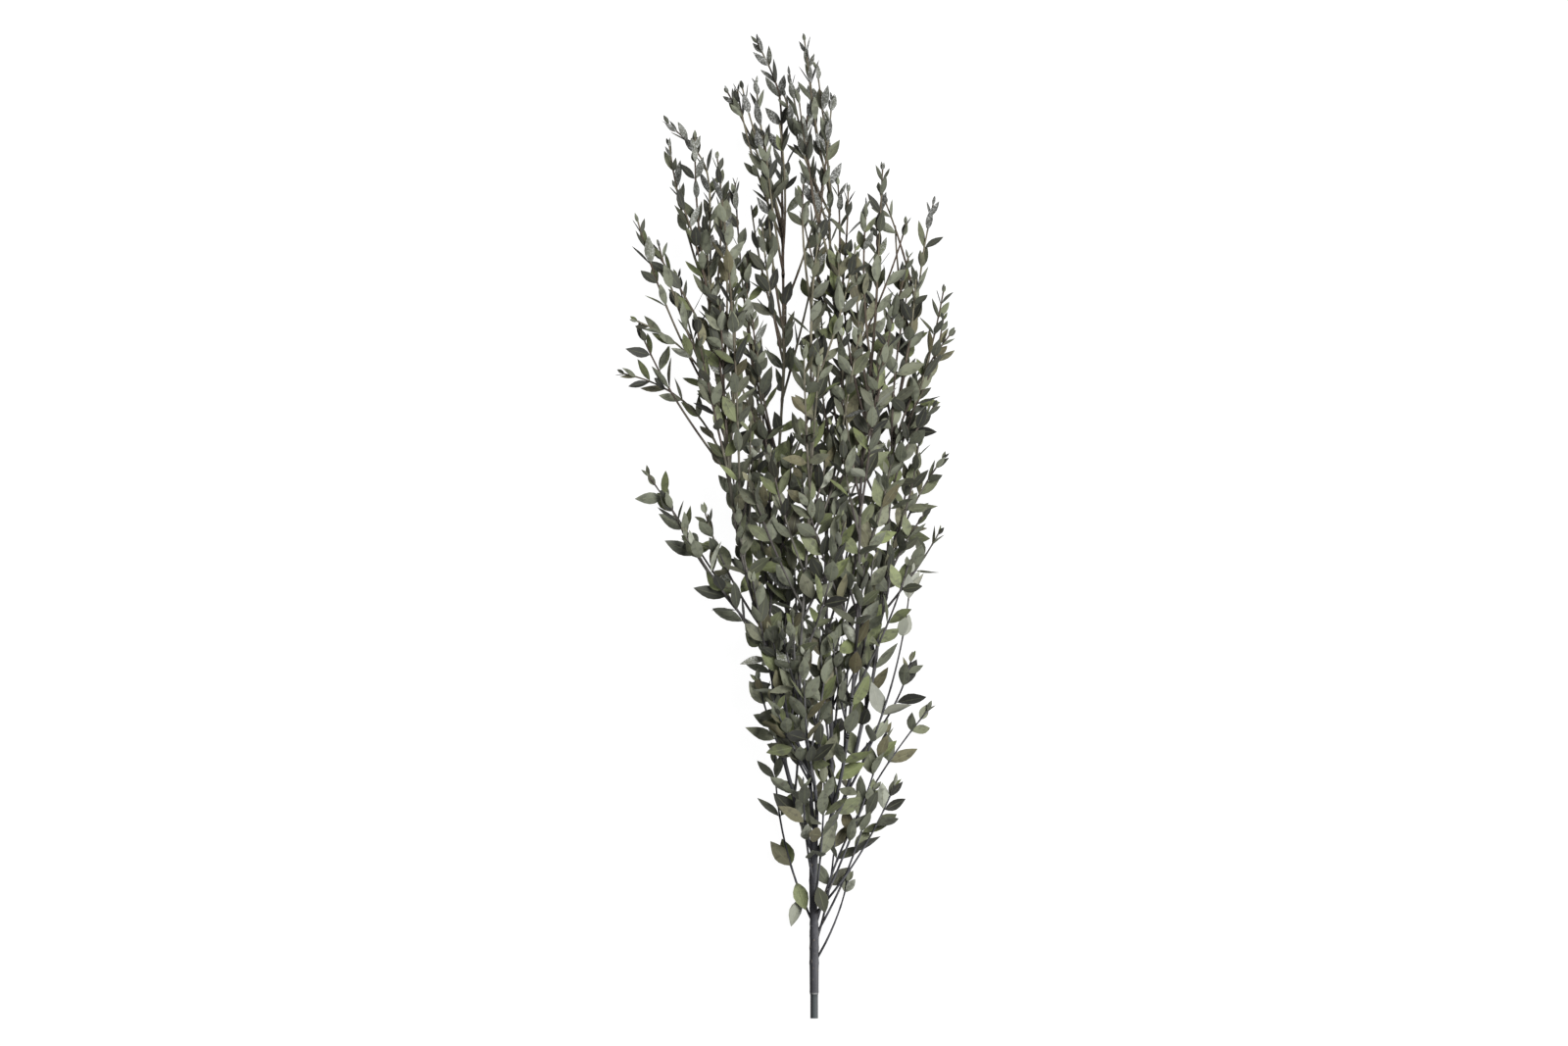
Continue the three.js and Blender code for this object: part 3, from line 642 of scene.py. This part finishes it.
leafy_stems = []
draw = SeededDraw(20)
for bough in boughs.values():
    low = bough.route.share_at(bough.woody + SEAT_GAP)
    bough.leafy_end = Stem(bough.route, low, 1, LEADER_STEPS, bough.radius[-1], TIP_RADIUS, bough)
    add_leafy_stem(bough.leafy_end, draw)
add_listed_stems(OUTLINE_STEMS, draw)
for name, bough in boughs.items():
    add_stems_round(bough, *SIDE_STEMS[name], SIDE_STEM_ANGLE, draw)
nodes = []
for stem in leafy_stems:
    if stem.node not in nodes:
        nodes.append(stem.node)
source_stems = list(leafy_stems)


# The leaves, thin, stiff, dry and 7 to 30 mm long, grow from the stems in pairs, each square to the one
# before. Three of every seven pairs are in the branch's solids and are set first, as they are there. The
# others follow, and each is turned or left out where it would cross another leaf or a stem.
LEAF_LENGTH, LEAF_TIP_LENGTH, LEAF_GROWTH = 26, 10, 6
LEAF_SLENDERNESS = 2.05
LEAF_THICKNESS = 0.6
LEAF_BOW = 0.05
LEAF_ROOT = 0.6
SMALL_LEAF = 19
PAIR_GAP_AT_TIP, PAIR_GAP_GROWTH, PAIR_GAP_MOST = 9, 2.6, 24
FIRST_PAIR_AT = 1
LOWEST_PAIR = 0.8
SPREAD_AT_TIP, SPREAD_GROWTH, SPREAD_MOST = np.radians((17, 5, 42)).tolist()
LEVELLED = 0.6
LOW_LEAVES, HIGH_LEAVES = 200, 600
SMALLER_ABOVE, SLENDERER_ABOVE, CLOSER_ABOVE, STEEPER_ABOVE = 0.2, 0.25, 0.32, 0.4
PAIR_TURN_DRAW = (-0.25, 0.25)
LENGTH_DRAW = (0.82, 1.14)
SLENDERNESS_DRAW = (0.88, 1.16)
SPREAD_DRAW = (0.7, 1.35)
ROLL_DRAW = (-0.75, 0.75)
BOW_DRAW = (-0.5, 1.5)
SETTLING_STEPS, SETTLED_FLATTER, SETTLED_LEAST, SETTLED_RISE = 5, 0.4, 0.04, 1.2
MOST_LEAVES = 4000
SOURCE_PAIRS, SOURCE_OF = (0, 1, 4), 7
SOURCE_CLEARANCE = 1.5
SOURCE_MANNER = (1, 1, 1, 1)
TURN_TRIES = [math.radians(turn) for turn in (0, 28, -28, 56, -56)]
# What only the scene shows, with its leaves varied by height.
SCENE_CLEARANCE = 0.3
MORE_TRIES = TURN_TRIES + [math.radians(turn) for turn in (80, -80)]
MANNER_HEIGHTS = (200, 380, 560, 700)
SCENE_LARGER = (1.0, 1.07, 1.05, 0.98)
SCENE_SLIMMER = (1.1, 1.1, 1.12, 1.2)
SCENE_WIDER = (1.05, 1.2, 1.1, 0.84)
SCENE_VARIED = 2.1
BOUGH_LEAVES_FROM = 152
BOUGH_PAIR, BOUGH_PAIR_FROM_END = 8, 10
BOUGH_GAP_DRAW = (0.85, 1.1)
SPARSE_BELOW = 170
FEWEST_LEAVES = 5
# Leaves that hang back: stem, place along it, turn round it, spread and length.
LOW_LEFT_STEM, LOW_FRONT_STEM = 18, 15
HANGING_LEAVES = [
    ("left", 24, math.pi, 2.45, 25),
    ("left", 38, math.pi / 2, 3.0, 25),
    ("front", 24, 0.8, 2.55, 23),
]
HANGING_SLENDERNESS = 2
RIM = np.array([(0, 0), (0.33, 0.9), (0.7, 0.76), (1, 0), (0.7, -0.76), (0.33, -0.9), (0, 0), (1, 0)])
SMALL_RIM = np.array([(0, 0), (0.42, 1), (1, 0), (1, 0), (1, 0), (0.42, -1), (0, 0), (1, 0)])


def rim_of(leaf):
    """The rim of a leaf's middle surface, back at its root and then at its tip once more."""
    share, side = (SMALL_RIM if leaf.length < SMALL_LEAF else RIM).T[..., None]
    return (leaf.root + share * leaf.length * leaf.along + side * leaf.width / 2 * leaf.across
            - leaf.bow * leaf.length * share ** 2 * leaf.face)


def lay_on_table(leaf):
    """Turns a leaf that would reach into the table flatter and upwards until it lies on it."""
    for _ in range(SETTLING_STEPS):
        leaf.rim = rim_of(leaf)
        sunk = (LEAF_THICKNESS / 2 * abs(leaf.face[2]) - leaf.rim[:, 2]).max()
        if sunk <= 1e-9:
            return
        leaf.across[2] *= SETTLED_FLATTER
        leaf.along[2] += max(SETTLED_LEAST, SETTLED_RISE * sunk / leaf.length)
        leaf.along = unit(leaf.along)
        leaf.across = unit(leaf.across - leaf.along * dot(leaf.across, leaf.along))
        leaf.face = np.cross(leaf.across, leaf.along)
        if leaf.face[2] < 0:
            leaf.bow = -abs(leaf.bow)
    leaf.rim = rim_of(leaf)
    leaf.rim[:, 2] = np.maximum(leaf.rim[:, 2], LEAF_THICKNESS / 2 * abs(leaf.face[2]))


def meets_blade(start, end, blade, clearance):
    """Whether straight stretches come within a clearance of blades, each taken as a flat oval."""
    middle, along, across, face, length, width = blade
    offset, step = start - middle, end - start
    height, climb = dot(offset, face), dot(step, face)
    level = np.abs(climb) <= 1e-9
    slope = np.where(level, 1, climb)
    one, other = (clearance - height) / slope, (-clearance - height) / slope
    low = np.where(level, 0, np.maximum(0, np.minimum(one, other)))
    outside = np.where(np.abs(height) > clearance, -1, 1)
    high = np.where(level, outside, np.minimum(1, np.maximum(one, other)))
    reach, breadth = length / 2 + clearance, width / 2 + clearance
    a, b = dot(offset, along) / reach, dot(offset, across) / breadth
    da, db = dot(step, along) / reach, dot(step, across) / breadth
    span = da * da + db * db
    nearest = np.clip(-(a * da + b * db) / np.where(span == 0, 1, span), low, np.maximum(low, high))
    return (low <= high) & ((a + da * nearest) ** 2 + (b + db * nearest) ** 2 < 1)


class Foliage:
    """All leaves so far, in arrays, so that a new one is tried against its neighbours at once."""

    def __init__(self):
        self.leaves = []
        self.rims = np.zeros((MOST_LEAVES, len(RIM), 3))
        self.vectors = np.zeros((MOST_LEAVES, 4, 3))
        self.sizes = np.zeros((MOST_LEAVES, 2))
        self.joints = np.zeros(MOST_LEAVES, int)

    def add(self, leaf):
        i = len(self.leaves)
        self.rims[i] = leaf.rim
        self.vectors[i] = leaf.middle, leaf.along, leaf.across, leaf.face
        self.sizes[i] = leaf.length, leaf.width
        self.joints[i] = id(leaf.joint)
        self.leaves.append(leaf)

    def meets(self, leaf, clearance):
        count = len(self.leaves)
        apart = np.linalg.norm(self.vectors[:count, 0] - leaf.middle, axis=1)
        near = apart <= (self.sizes[:count, 0] + leaf.length) / 2 + clearance
        near = np.nonzero(near & (self.joints[:count] != id(leaf.joint)))[0]
        if not len(near):
            return False
        rims = self.rims[near]
        if meets_blade(rims[:, :-1], rims[:, 1:], leaf.blade, clearance).any():
            return True
        vectors = [self.vectors[near, i][:, None] for i in range(4)]
        sizes = [self.sizes[near, i][:, None] for i in range(2)]
        return meets_blade(leaf.rim[None, :-1], leaf.rim[None, 1:], (*vectors, *sizes), clearance).any()


def gather_stretches():
    """All stems as straight stretches, with their radii and the stem of each."""
    rows = []
    for stem in (trunk, *boughs.values(), *leafy_stems):
        rows.append((stem.centre[:-1], stem.centre[1:], stem.radius[:-1], [id(stem)] * len(stem.steps)))
    return [np.concatenate(column) for column in zip(*rows)]


def is_clear(leaf, own, clearance):
    x, height = leaf.middle[0], leaf.middle[1] + CUT_TO_ORIGIN
    if any(left < x < right and low < height < high for left, right, low, high in leafless_places):
        return False
    starts, ends, radii, owners = stretches
    if (meets_blade(starts, ends, leaf.blade, clearance + radii) & (owners != id(own))).any():
        return False
    return not foliage.meets(leaf, clearance)


def make_leaf(joint, turn, spread, roll, levelled, length, width, bow):
    """A leaf at a spread from its stem and a turn round it, rolled and settled towards level."""
    side, up = square_to(joint.along)
    outward = side * math.cos(turn) + up * math.sin(turn)
    along = joint.along * math.cos(spread) + outward * math.sin(spread)
    flat = np.cross(joint.along, outward)
    upright = np.cross(flat, along)
    level = square_to(along)[0]
    roll += levelled * math.atan(dot(level, upright) / dot(level, flat))
    across = unit(flat * math.cos(roll) + upright * math.sin(roll))
    root = joint.centre + outward * LEAF_ROOT * joint.radius
    leaf = SimpleNamespace(joint=joint, root=root, along=along, across=across)
    leaf.face = np.cross(across, along)
    leaf.length, leaf.width, leaf.bow = length, width, bow
    lay_on_table(leaf)
    leaf.middle = root + leaf.along * length / 2 - leaf.face * leaf.bow * length * 0.5 ** 2
    leaf.blade = (leaf.middle, leaf.along, leaf.across, leaf.face, length, width)
    return leaf


def set_pair(own, pair, joint, draw, clearance, tries, manner):
    """A manner says how much larger, slimmer, wider in spread and more varied the leaves are."""
    larger, slimmer, wider, varied = manner
    upness = min(max((joint.centre[1] - LOW_LEAVES) / (HIGH_LEAVES - LOW_LEAVES), 0), 1)
    size = min(LEAF_LENGTH, LEAF_TIP_LENGTH + LEAF_GROWTH * pair) * (1 - SMALLER_ABOVE * upness) * larger
    slenderness = LEAF_SLENDERNESS * (1 + SLENDERER_ABOVE * upness) * slimmer
    widest = min(SPREAD_MOST * (1 - CLOSER_ABOVE * upness), SPREAD_AT_TIP + SPREAD_GROWTH * pair)
    levelled = LEVELLED * (1 - STEEPER_ABOVE * upness)
    turn = own.turn + pair * math.pi / 2 + draw.between(*PAIR_TURN_DRAW)
    own.joints.append((joint.share, PAIR_SWELLING))
    for opposite in (0, math.pi):
        length = size * draw.between(*LENGTH_DRAW)
        width = length / (slenderness * draw.between(*SLENDERNESS_DRAW))
        spread = widest * draw.between(*SPREAD_DRAW) ** varied * wider
        roll = draw.between(*ROLL_DRAW)
        bow = LEAF_BOW * draw.between(*BOW_DRAW)
        for extra_turn in tries:
            around = turn + opposite + extra_turn
            leaf = make_leaf(joint, around, spread, roll, levelled, length, width, bow)
            if is_clear(leaf, own, clearance):
                leaf.own = own
                foliage.add(leaf)
                break


def fill_pair(own, pair, joint):
    """Sets a pair that only the scene shows."""
    height = joint.centre[1] + CUT_TO_ORIGIN
    by_height = (SCENE_LARGER, SCENE_SLIMMER, SCENE_WIDER)
    manner = [np.interp(height, MANNER_HEIGHTS, values) for values in by_height] + [SCENE_VARIED]
    set_pair(own, pair, joint, draw, SCENE_CLEARANCE, MORE_TRIES, manner)


def pairs_of(own):
    """The pairs of a stem from its tip down, each with its number and place."""
    length = own.steps.sum()
    lowest = max(own.bare * length, PAIR_GAP_MOST * LOWEST_PAIR)
    from_tip, pair = FIRST_PAIR_AT, 0
    while from_tip < length - lowest:
        yield pair, own.at_length(length - from_tip)
        from_tip += min(PAIR_GAP_MOST, PAIR_GAP_AT_TIP + PAIR_GAP_GROWTH * pair)
        pair += 1


foliage = Foliage()
stretches = gather_stretches()
leafless_places = []
for own in source_stems:
    for pair, joint in pairs_of(own):
        if pair % SOURCE_OF in SOURCE_PAIRS:
            set_pair(own, pair, joint, draw, SOURCE_CLEARANCE, TURN_TRIES, SOURCE_MANNER)

draw = SeededDraw(31)
add_listed_stems(FILLING_STEMS, draw)
for name, bough in boughs.items():
    add_stems_round(bough, *INNER_STEMS[name], INNER_STEM_ANGLE, draw, inside=True)
inner_stems = leafy_stems[len(source_stems):]
wood_stems = {"stem": trunk, **boughs}
stretches = gather_stretches()
leafless_places = LEAFLESS_PLACES
for name, bough in boughs.items():
    bough.turn = draw.between(0, 2 * math.pi)
    pair, from_end = BOUGH_PAIR, BOUGH_PAIR_FROM_END
    while bough.steps.sum() - from_end > 0:
        joint = bough.at_length(bough.steps.sum() - from_end)
        if joint.centre[1] + CUT_TO_ORIGIN < BOUGH_LEAVES_FROM:
            break
        fill_pair(bough, pair, joint)
        from_end += PAIR_GAP_MOST * draw.between(*BOUGH_GAP_DRAW)
        pair += 1
for own in source_stems:
    sparse = own.centre[0][1] < SPARSE_BELOW
    for pair, joint in pairs_of(own):
        if pair % SOURCE_OF not in SOURCE_PAIRS and not (sparse and pair % 2):
            fill_pair(own, pair, joint)
low_stems = {"left": source_stems[len(boughs) + LOW_LEFT_STEM], "front": inner_stems[LOW_FRONT_STEM]}
for name, along_stem, turn, spread, length in HANGING_LEAVES:
    own = low_stems[name]
    joint = own.at_length(along_stem)
    leaf = make_leaf(joint, turn, spread, 0, LEVELLED, length, length / HANGING_SLENDERNESS, LEAF_BOW)
    leaf.own = own
    foliage.add(leaf)
for own in inner_stems:
    for pair, joint in pairs_of(own):
        fill_pair(own, pair, joint)
leaves_on = Counter(leaf.own for leaf in foliage.leaves)
inner_stems = [own for own in inner_stems if leaves_on[own] >= FEWEST_LEAVES]


# The stem and boughs as they look: round wood with a thinner foot, where it was stripped and cut, and a
# swelling wherever a stem or a pair of leaves grows from it. The foot lies on the table, and the lower
# stem is a little stouter than in the branch's solids.
TRUNK_RINGS_APART, BOUGH_RINGS_APART = 2.4, 6
SWELLING, SWELLING_LENGTH = 0.24, 1.8
SWELLING_RINGS = (-2.2, 0, 2.2)
STOUTER_HEIGHTS = (20, 24, 45, 72, 90, 110, 130)
STOUTER_BY = (0.3, 0.15, 0.3, 0.35, 0.55, 0.6, 0.3)


def stations_of(stem, spacing):
    """Rings along a stem's true route, swollen at its joints, a given spacing apart."""
    length = stem.steps.sum()
    shares = set(np.linspace(0, 1, max(3, round(length / spacing) + 1)))
    for joint, _ in stem.joints:
        beside = [joint + offset / length for offset in SWELLING_RINGS]
        shares.update(share for share in beside if 0 < share < 1)
    for share in sorted(shares):
        radius = np.interp(share, np.linspace(0, 1, len(stem.radius)), stem.radius)
        for joint, swelling in stem.joints:
            radius += SWELLING * swelling * math.exp(-((share - joint) * length / SWELLING_LENGTH) ** 2)
        yield stem.true_point(share), stem.true_along(share), radius


wood = bmesh.new()
cut = wood.faces.layers.float.new("cut")
trunk_rings = []
for centre, along, radius in stations_of(trunk, TRUNK_RINGS_APART):
    from_cut = centre[1] + CUT_TO_ORIGIN
    if from_cut < COLLAR_AT:
        radius = FOOT_RADIUS
        centre = centre + (0, 0, radius - centre[2])
    else:
        radius += np.interp(from_cut, STOUTER_HEIGHTS, STOUTER_BY)
    centre[2] = max(centre[2], radius)
    trunk_rings.append((centre, along, radius))
foot = draw_out(wood, trunk_rings, STEM_SIDES)
for rim in foot.edges:
    rim.smooth = False
foot[cut] = 1.0
for bough in boughs.values():
    draw_out(wood, list(stations_of(bough, BOUGH_RINGS_APART)), BOUGH_SIDES)
bmesh.ops.recalc_face_normals(wood, faces=wood.faces[:])
finish_piece("stem_and_boughs", wood, bark, ["main_stem"])


# The twigs of each leafy stem: thin round wood of one piece under the same bark, swollen at each pair of
# leaves and ending in a fine tip. They root inside the bark of the stem that bears them.
TWIG_SIDES = 6
TWIG_RINGS_APART = 9
TWIG_END, TWIG_END_THINNER = 1.4, 0.35
TWIGS_STOUTER = 1.12
THINNEST_HEIGHTS = (250, 450)
THINNEST_TWIGS = (0.55, 0.3)


def twig_radius(centre, radius):
    """A little stouter than in the solids, the lower ones above all."""
    return max(radius * TWIGS_STOUTER, np.interp(centre[1], THINNEST_HEIGHTS, THINNEST_TWIGS))


def draw_twigs(stems):
    bm = bmesh.new()
    bm.faces.layers.float.new("cut")
    for stem in stems:
        rings = []
        for centre, along, radius in stations_of(stem, TWIG_RINGS_APART):
            rings.append((centre, along, twig_radius(centre, radius)))
        centre, along, radius = rings[-1]
        rings.append((centre + along * TWIG_END, along, radius * TWIG_END_THINNER))
        draw_out(bm, rings, TWIG_SIDES)
    bmesh.ops.recalc_face_normals(bm, faces=bm.faces[:])
    return bm


for i, node in enumerate(nodes, 1):
    finish_piece(f"twigs_{i:02d}", draw_twigs(node.stems), bark, [f"leafy_stem_{i:02d}"])
for name, bearer in wood_stems.items():
    own = [stem for stem in inner_stems if stem.parent is bearer]
    finish_piece(f"inner_twigs_{name}", draw_twigs(own), bark)


# The leaf blades as they look: an ovate blade on a very short stalk, folded a little along its midrib,
# and bowed and twisted as it dried. Both faces are matt and olive grey, the lower one paler, with faint
# veins, a pale rim, small brown spots, and a frosty bloom on the young leaves towards the tips.
BLADE_OUTLINE = [
    (0, 0), (0.05, 0.08), (0.15, 0.5), (0.31, 0.88), (0.48, 1), (0.67, 0.82), (0.85, 0.43), (1, 0),
]
HALF_THICKNESS = 0.18
TWIST, LOPSIDED = 0.3, 0.25
FOLD_DRAW = (-0.05, 0.4)
LYING_AT, LYING_HALF = 0.25, 0.2
FROST_FROM, FROST_RANGE = 590, 220
FROST_LEAST, FROST_MOST = 0.01, 0.6
FROST_DRAW = (0.45, 1.0)
FROSTED_TONE = 0.6
DARKER_HEIGHTS, DARKER = (560, 700), (1, 0.8)
PALER_HEIGHTS, PALER = (300, 430, 560), (0.68, 0.92, 1)
YOUNG_FROM = 620
YOUNG_DRAW = (0.35, 0.85)
BLEACHED_STEM = 15
BLEACHED_DRAW = (0.35, 0.95)

skin = Finish("dry_leaf", Roughness=0.66, Specular_IOR_Level=0.35)
across_blade = skin.node("ShaderNodeUVMap", {"uv_map": "blade"}, {}).part(0)
along_blade = skin.node("ShaderNodeUVMap", {"uv_map": "blade"}, {}).part(1)
off_midrib = (across_blade - 0.5).size() * 2
tone = skin.mark("tone")
age = skin.mark("age")
mottle = skin.cloud(skin.place(), 170.0)
fine = skin.cloud(skin.place(), 900.0, 2.0)
olive = age.rising(0.75, 0.15)
middling = skin.blend(tint(111, 113, 96), tint(109, 116, 79), olive)
palest = skin.blend(tint(140, 143, 121), tint(137, 146, 100), olive)
upper = skin.blend(tint(40, 40, 37), middling, tone.rising(0.0, 0.6))
upper = skin.blend(upper, palest, tone.rising(0.55, 1.0))
lower = skin.blend(tint(56, 57, 53), tint(128, 132, 114), tone.rising(0.1, 0.7))
lower = skin.blend(lower, tint(168, 171, 156), tone.rising(0.9, 0.98))
colour = skin.blend(upper, lower, skin.mark("under"))
colour = skin.blend(colour, tint(128, 120, 88), age.rising(0.84, 1.0) * (0.25 + mottle * 0.8))
colour = skin.blend(colour, tint(70, 70, 64), mottle.rising(0.46, 0.7) * 0.6)
vein_wave = ((along_blade * 9.0 - off_midrib * 2.6) * (2 * math.pi)).math("SINE")
side_vein = vein_wave.rising(0.82, 0.98) * off_midrib.rising(0.95, 0.4)
midrib = off_midrib.rising(0.13, 0.03) * along_blade.rising(1.0, 0.7)
colour = skin.blend(colour, tint(150, 154, 118), midrib * 0.22 + side_vein * 0.07)
colour = skin.blend(colour, tint(150, 146, 116), off_midrib.rising(0.9, 1.0) * 0.35)
spot = skin.cloud(skin.place(), 520.0, 1.0).rising(0.7, 0.76)
colour = skin.blend(colour, tint(78, 58, 40), spot * 0.6)
speckle = skin.cloud(skin.place(), 750.0).rising(0.47, 0.6)
patch = skin.cloud(skin.place(), 190.0, 2.0).rising(0.35, 0.65)
bloom = skin.mark("frost") * (0.2 + speckle * 0.8) * (0.45 + patch * 0.55)
colour = skin.blend(colour, tint(200, 201, 198), bloom)
colour = skin.blend(colour, tint(188, 190, 178), skin.mark("bleached") * (0.6 + mottle * 0.5))
skin.colour(colour)
skin.relief(midrib * 0.5 + side_vein * 0.35 + mottle * 0.5 + fine * 0.2, 0.0003)


def leaf_form():
    """One blade, -1 to 1 across, 0 to 1 along and -1 to 1 through, that every leaf is shaped from."""
    bm = bmesh.new()
    blade = bm.loops.layers.uv.new("blade")
    for name in ("under", "tone", "age", "frost", "bleached"):
        bm.faces.layers.float.new(name)
    below = bm.faces.layers.float["under"]
    rows = len(BLADE_OUTLINE) - 1
    bmesh.ops.create_grid(bm, x_segments=4, y_segments=rows, size=0.5)
    for face in bm.faces:
        for loop in face.loops:
            row = round((loop.vert.co.y + 0.5) * rows)
            loop[blade].uv = (loop.vert.co.x + 0.5, BLADE_OUTLINE[row][0])
    for corner in bm.verts:
        share, half = BLADE_OUTLINE[round((corner.co.y + 0.5) * rows)]
        inside = abs(corner.co.x) < 0.4 and half > 0
        corner.co = (2 * corner.co.x * half, share, 1 if inside else 0)
    upper_side = bmesh.ops.duplicate(bm, geom=bm.faces[:])["geom"]
    for item in upper_side:
        if isinstance(item, bmesh.types.BMVert):
            item.co.z *= -1
    turned = [item for item in upper_side if isinstance(item, bmesh.types.BMFace)]
    for face in bm.faces:
        face[below] = 0.0 if face in turned else 1.0
    bmesh.ops.reverse_faces(bm, faces=turned)
    bmesh.ops.remove_doubles(bm, verts=bm.verts[:], dist=1e-5)
    for edge in bm.edges:
        edge.smooth = edge.link_faces[0][below] == edge.link_faces[-1][below]
    return mesh_of(bm, "leaf_form")


form = leaf_form()
form_points = np.array([corner.co for corner in form.vertices])
looks = SeededDraw(77)
bleached_stem = source_stems[len(boughs) + BLEACHED_STEM]


def set_leaf(bm, leaf):
    """Shapes a copy of the form into this leaf, with its own fold, twist and tone."""
    x, y, z = form_points.T[..., None]
    twist = looks.between(-TWIST, TWIST) * y
    fold = looks.between(*FOLD_DRAW)
    x = x * (1 + looks.between(-LOPSIDED, LOPSIDED) * (2 * y - 1))
    across = leaf.across * np.cos(twist) + leaf.face * np.sin(twist)
    face = leaf.face * np.cos(twist) - leaf.across * np.sin(twist)
    shift = leaf.own.true_point(leaf.joint.share) - leaf.joint.centre
    points = (leaf.root + shift + leaf.along * y * leaf.length + across * x * leaf.width / 2
              + face * (z * HALF_THICKNESS - fold * np.abs(x) * leaf.width / 2)
              - leaf.face * leaf.bow * leaf.length * y ** 2)
    points[:, 2] = np.maximum(points[:, 2], LYING_AT + LYING_HALF * np.sign(leaf.face[2]) * z[:, 0])
    corner_count, face_count = len(bm.verts), len(bm.faces)
    bm.from_mesh(form)
    bm.verts.ensure_lookup_table()
    bm.faces.ensure_lookup_table()
    for corner, point in zip(bm.verts[corner_count:], points):
        corner.co = Vector(point) * MM
    height = leaf.root[1] + CUT_TO_ORIGIN
    frosted = looks() < min(FROST_MOST, max(FROST_LEAST, (height - FROST_FROM) / FROST_RANGE))
    tone = looks() * (FROSTED_TONE if frosted else 1) * np.interp(height, DARKER_HEIGHTS, DARKER)
    marks = {
        "tone": tone ** np.interp(height, PALER_HEIGHTS, PALER),
        "age": looks() if height < YOUNG_FROM else looks.between(*YOUNG_DRAW),
        "frost": looks.between(*FROST_DRAW) if frosted else 0.0,
        "bleached": looks.between(*BLEACHED_DRAW) if leaf.own is bleached_stem else 0.0,
    }
    for name, value in marks.items():
        layer = bm.faces.layers.float[name]
        for blade in bm.faces[face_count:]:
            blade[layer] = value


def dress(name, leaves, replaced=()):
    bm = bmesh.new()
    for leaf in leaves:
        set_leaf(bm, leaf)
    finish_piece(name, bm, skin, replaced)


for i, node in enumerate(nodes, 1):
    own = [leaf for leaf in foliage.leaves if leaf.own in node.stems]
    dress(f"leaves_{i:02d}", own, [f"leafy_stem_{i:02d}"])
for name, bough in boughs.items():
    dress(f"{name}_leaves", [leaf for leaf in foliage.leaves if leaf.own is bough])
for name, bearer in wood_stems.items():
    inner = [leaf for leaf in foliage.leaves if leaf.own in inner_stems and leaf.own.parent is bearer]
    dress(f"inner_leaves_{name}", inner)
bpy.data.meshes.remove(form)


# The studio: a white table top that shines a little by itself, a broad soft light over the branch, a weak
# one beside it and a white room round it. The camera looks straight down.
VIEW_CENTRE = (-0.0245, 0.3897)
VIEW_WIDTH = 1.264
VIEW_HEIGHT = 9.0
MIDDLE_OF_BRANCH = 0.06

table = bmesh.new()
bmesh.ops.create_grid(table, x_segments=8, y_segments=8, size=6)
bmesh.ops.translate(table, vec=(0, 0.39, -0.0005), verts=table.verts)
table_top = add_object("table_top", mesh_of(table, "table_top"))
white = Finish("white_table", Roughness=0.9, Specular_IOR_Level=0.1, Emission_Strength=0.97,
               Emission_Color=(1, 1, 1, 1))
white.colour(white.blend((0.11, 0.11, 0.11, 1), (0.13, 0.13, 0.13, 1), white.cloud(white.place(), 3.0)))
table_top.data.materials.append(white.material)
table_top.visible_diffuse = False

room = bpy.data.worlds.new("white_room")
room.use_nodes = True
shine = room.node_tree.nodes["Background"].inputs
shine["Color"].default_value = (1, 1, 1, 1)
shine["Strength"].default_value = 0.14
bpy.context.scene.world = room


def add_light(name, place, aim, size, power):
    lamp = bpy.data.lights.new(name, "AREA")
    lamp.shape = "DISK"
    lamp.size = size
    lamp.energy = power
    light = add_object(name, lamp)
    light.location = place
    light.rotation_euler = (Vector(aim) - Vector(place)).to_track_quat("-Z", "Y").to_euler()


add_light("over_light", (1.0, 0.9, 2.4), (0, 0.4, 0), 1.2, 78)
add_light("side_light", (-1.6, 0.6, 1.6), (0, 0.4, 0), 1.2, 5)

eye = bpy.data.cameras.new("camera")
eye.lens = eye.sensor_width * VIEW_HEIGHT / VIEW_WIDTH
eye.clip_end = 50
camera = add_object("camera", eye)
camera.location = (*VIEW_CENTRE, VIEW_HEIGHT + MIDDLE_OF_BRANCH)
bpy.context.scene.camera = camera
bpy.context.scene.view_settings.view_transform = "Standard"
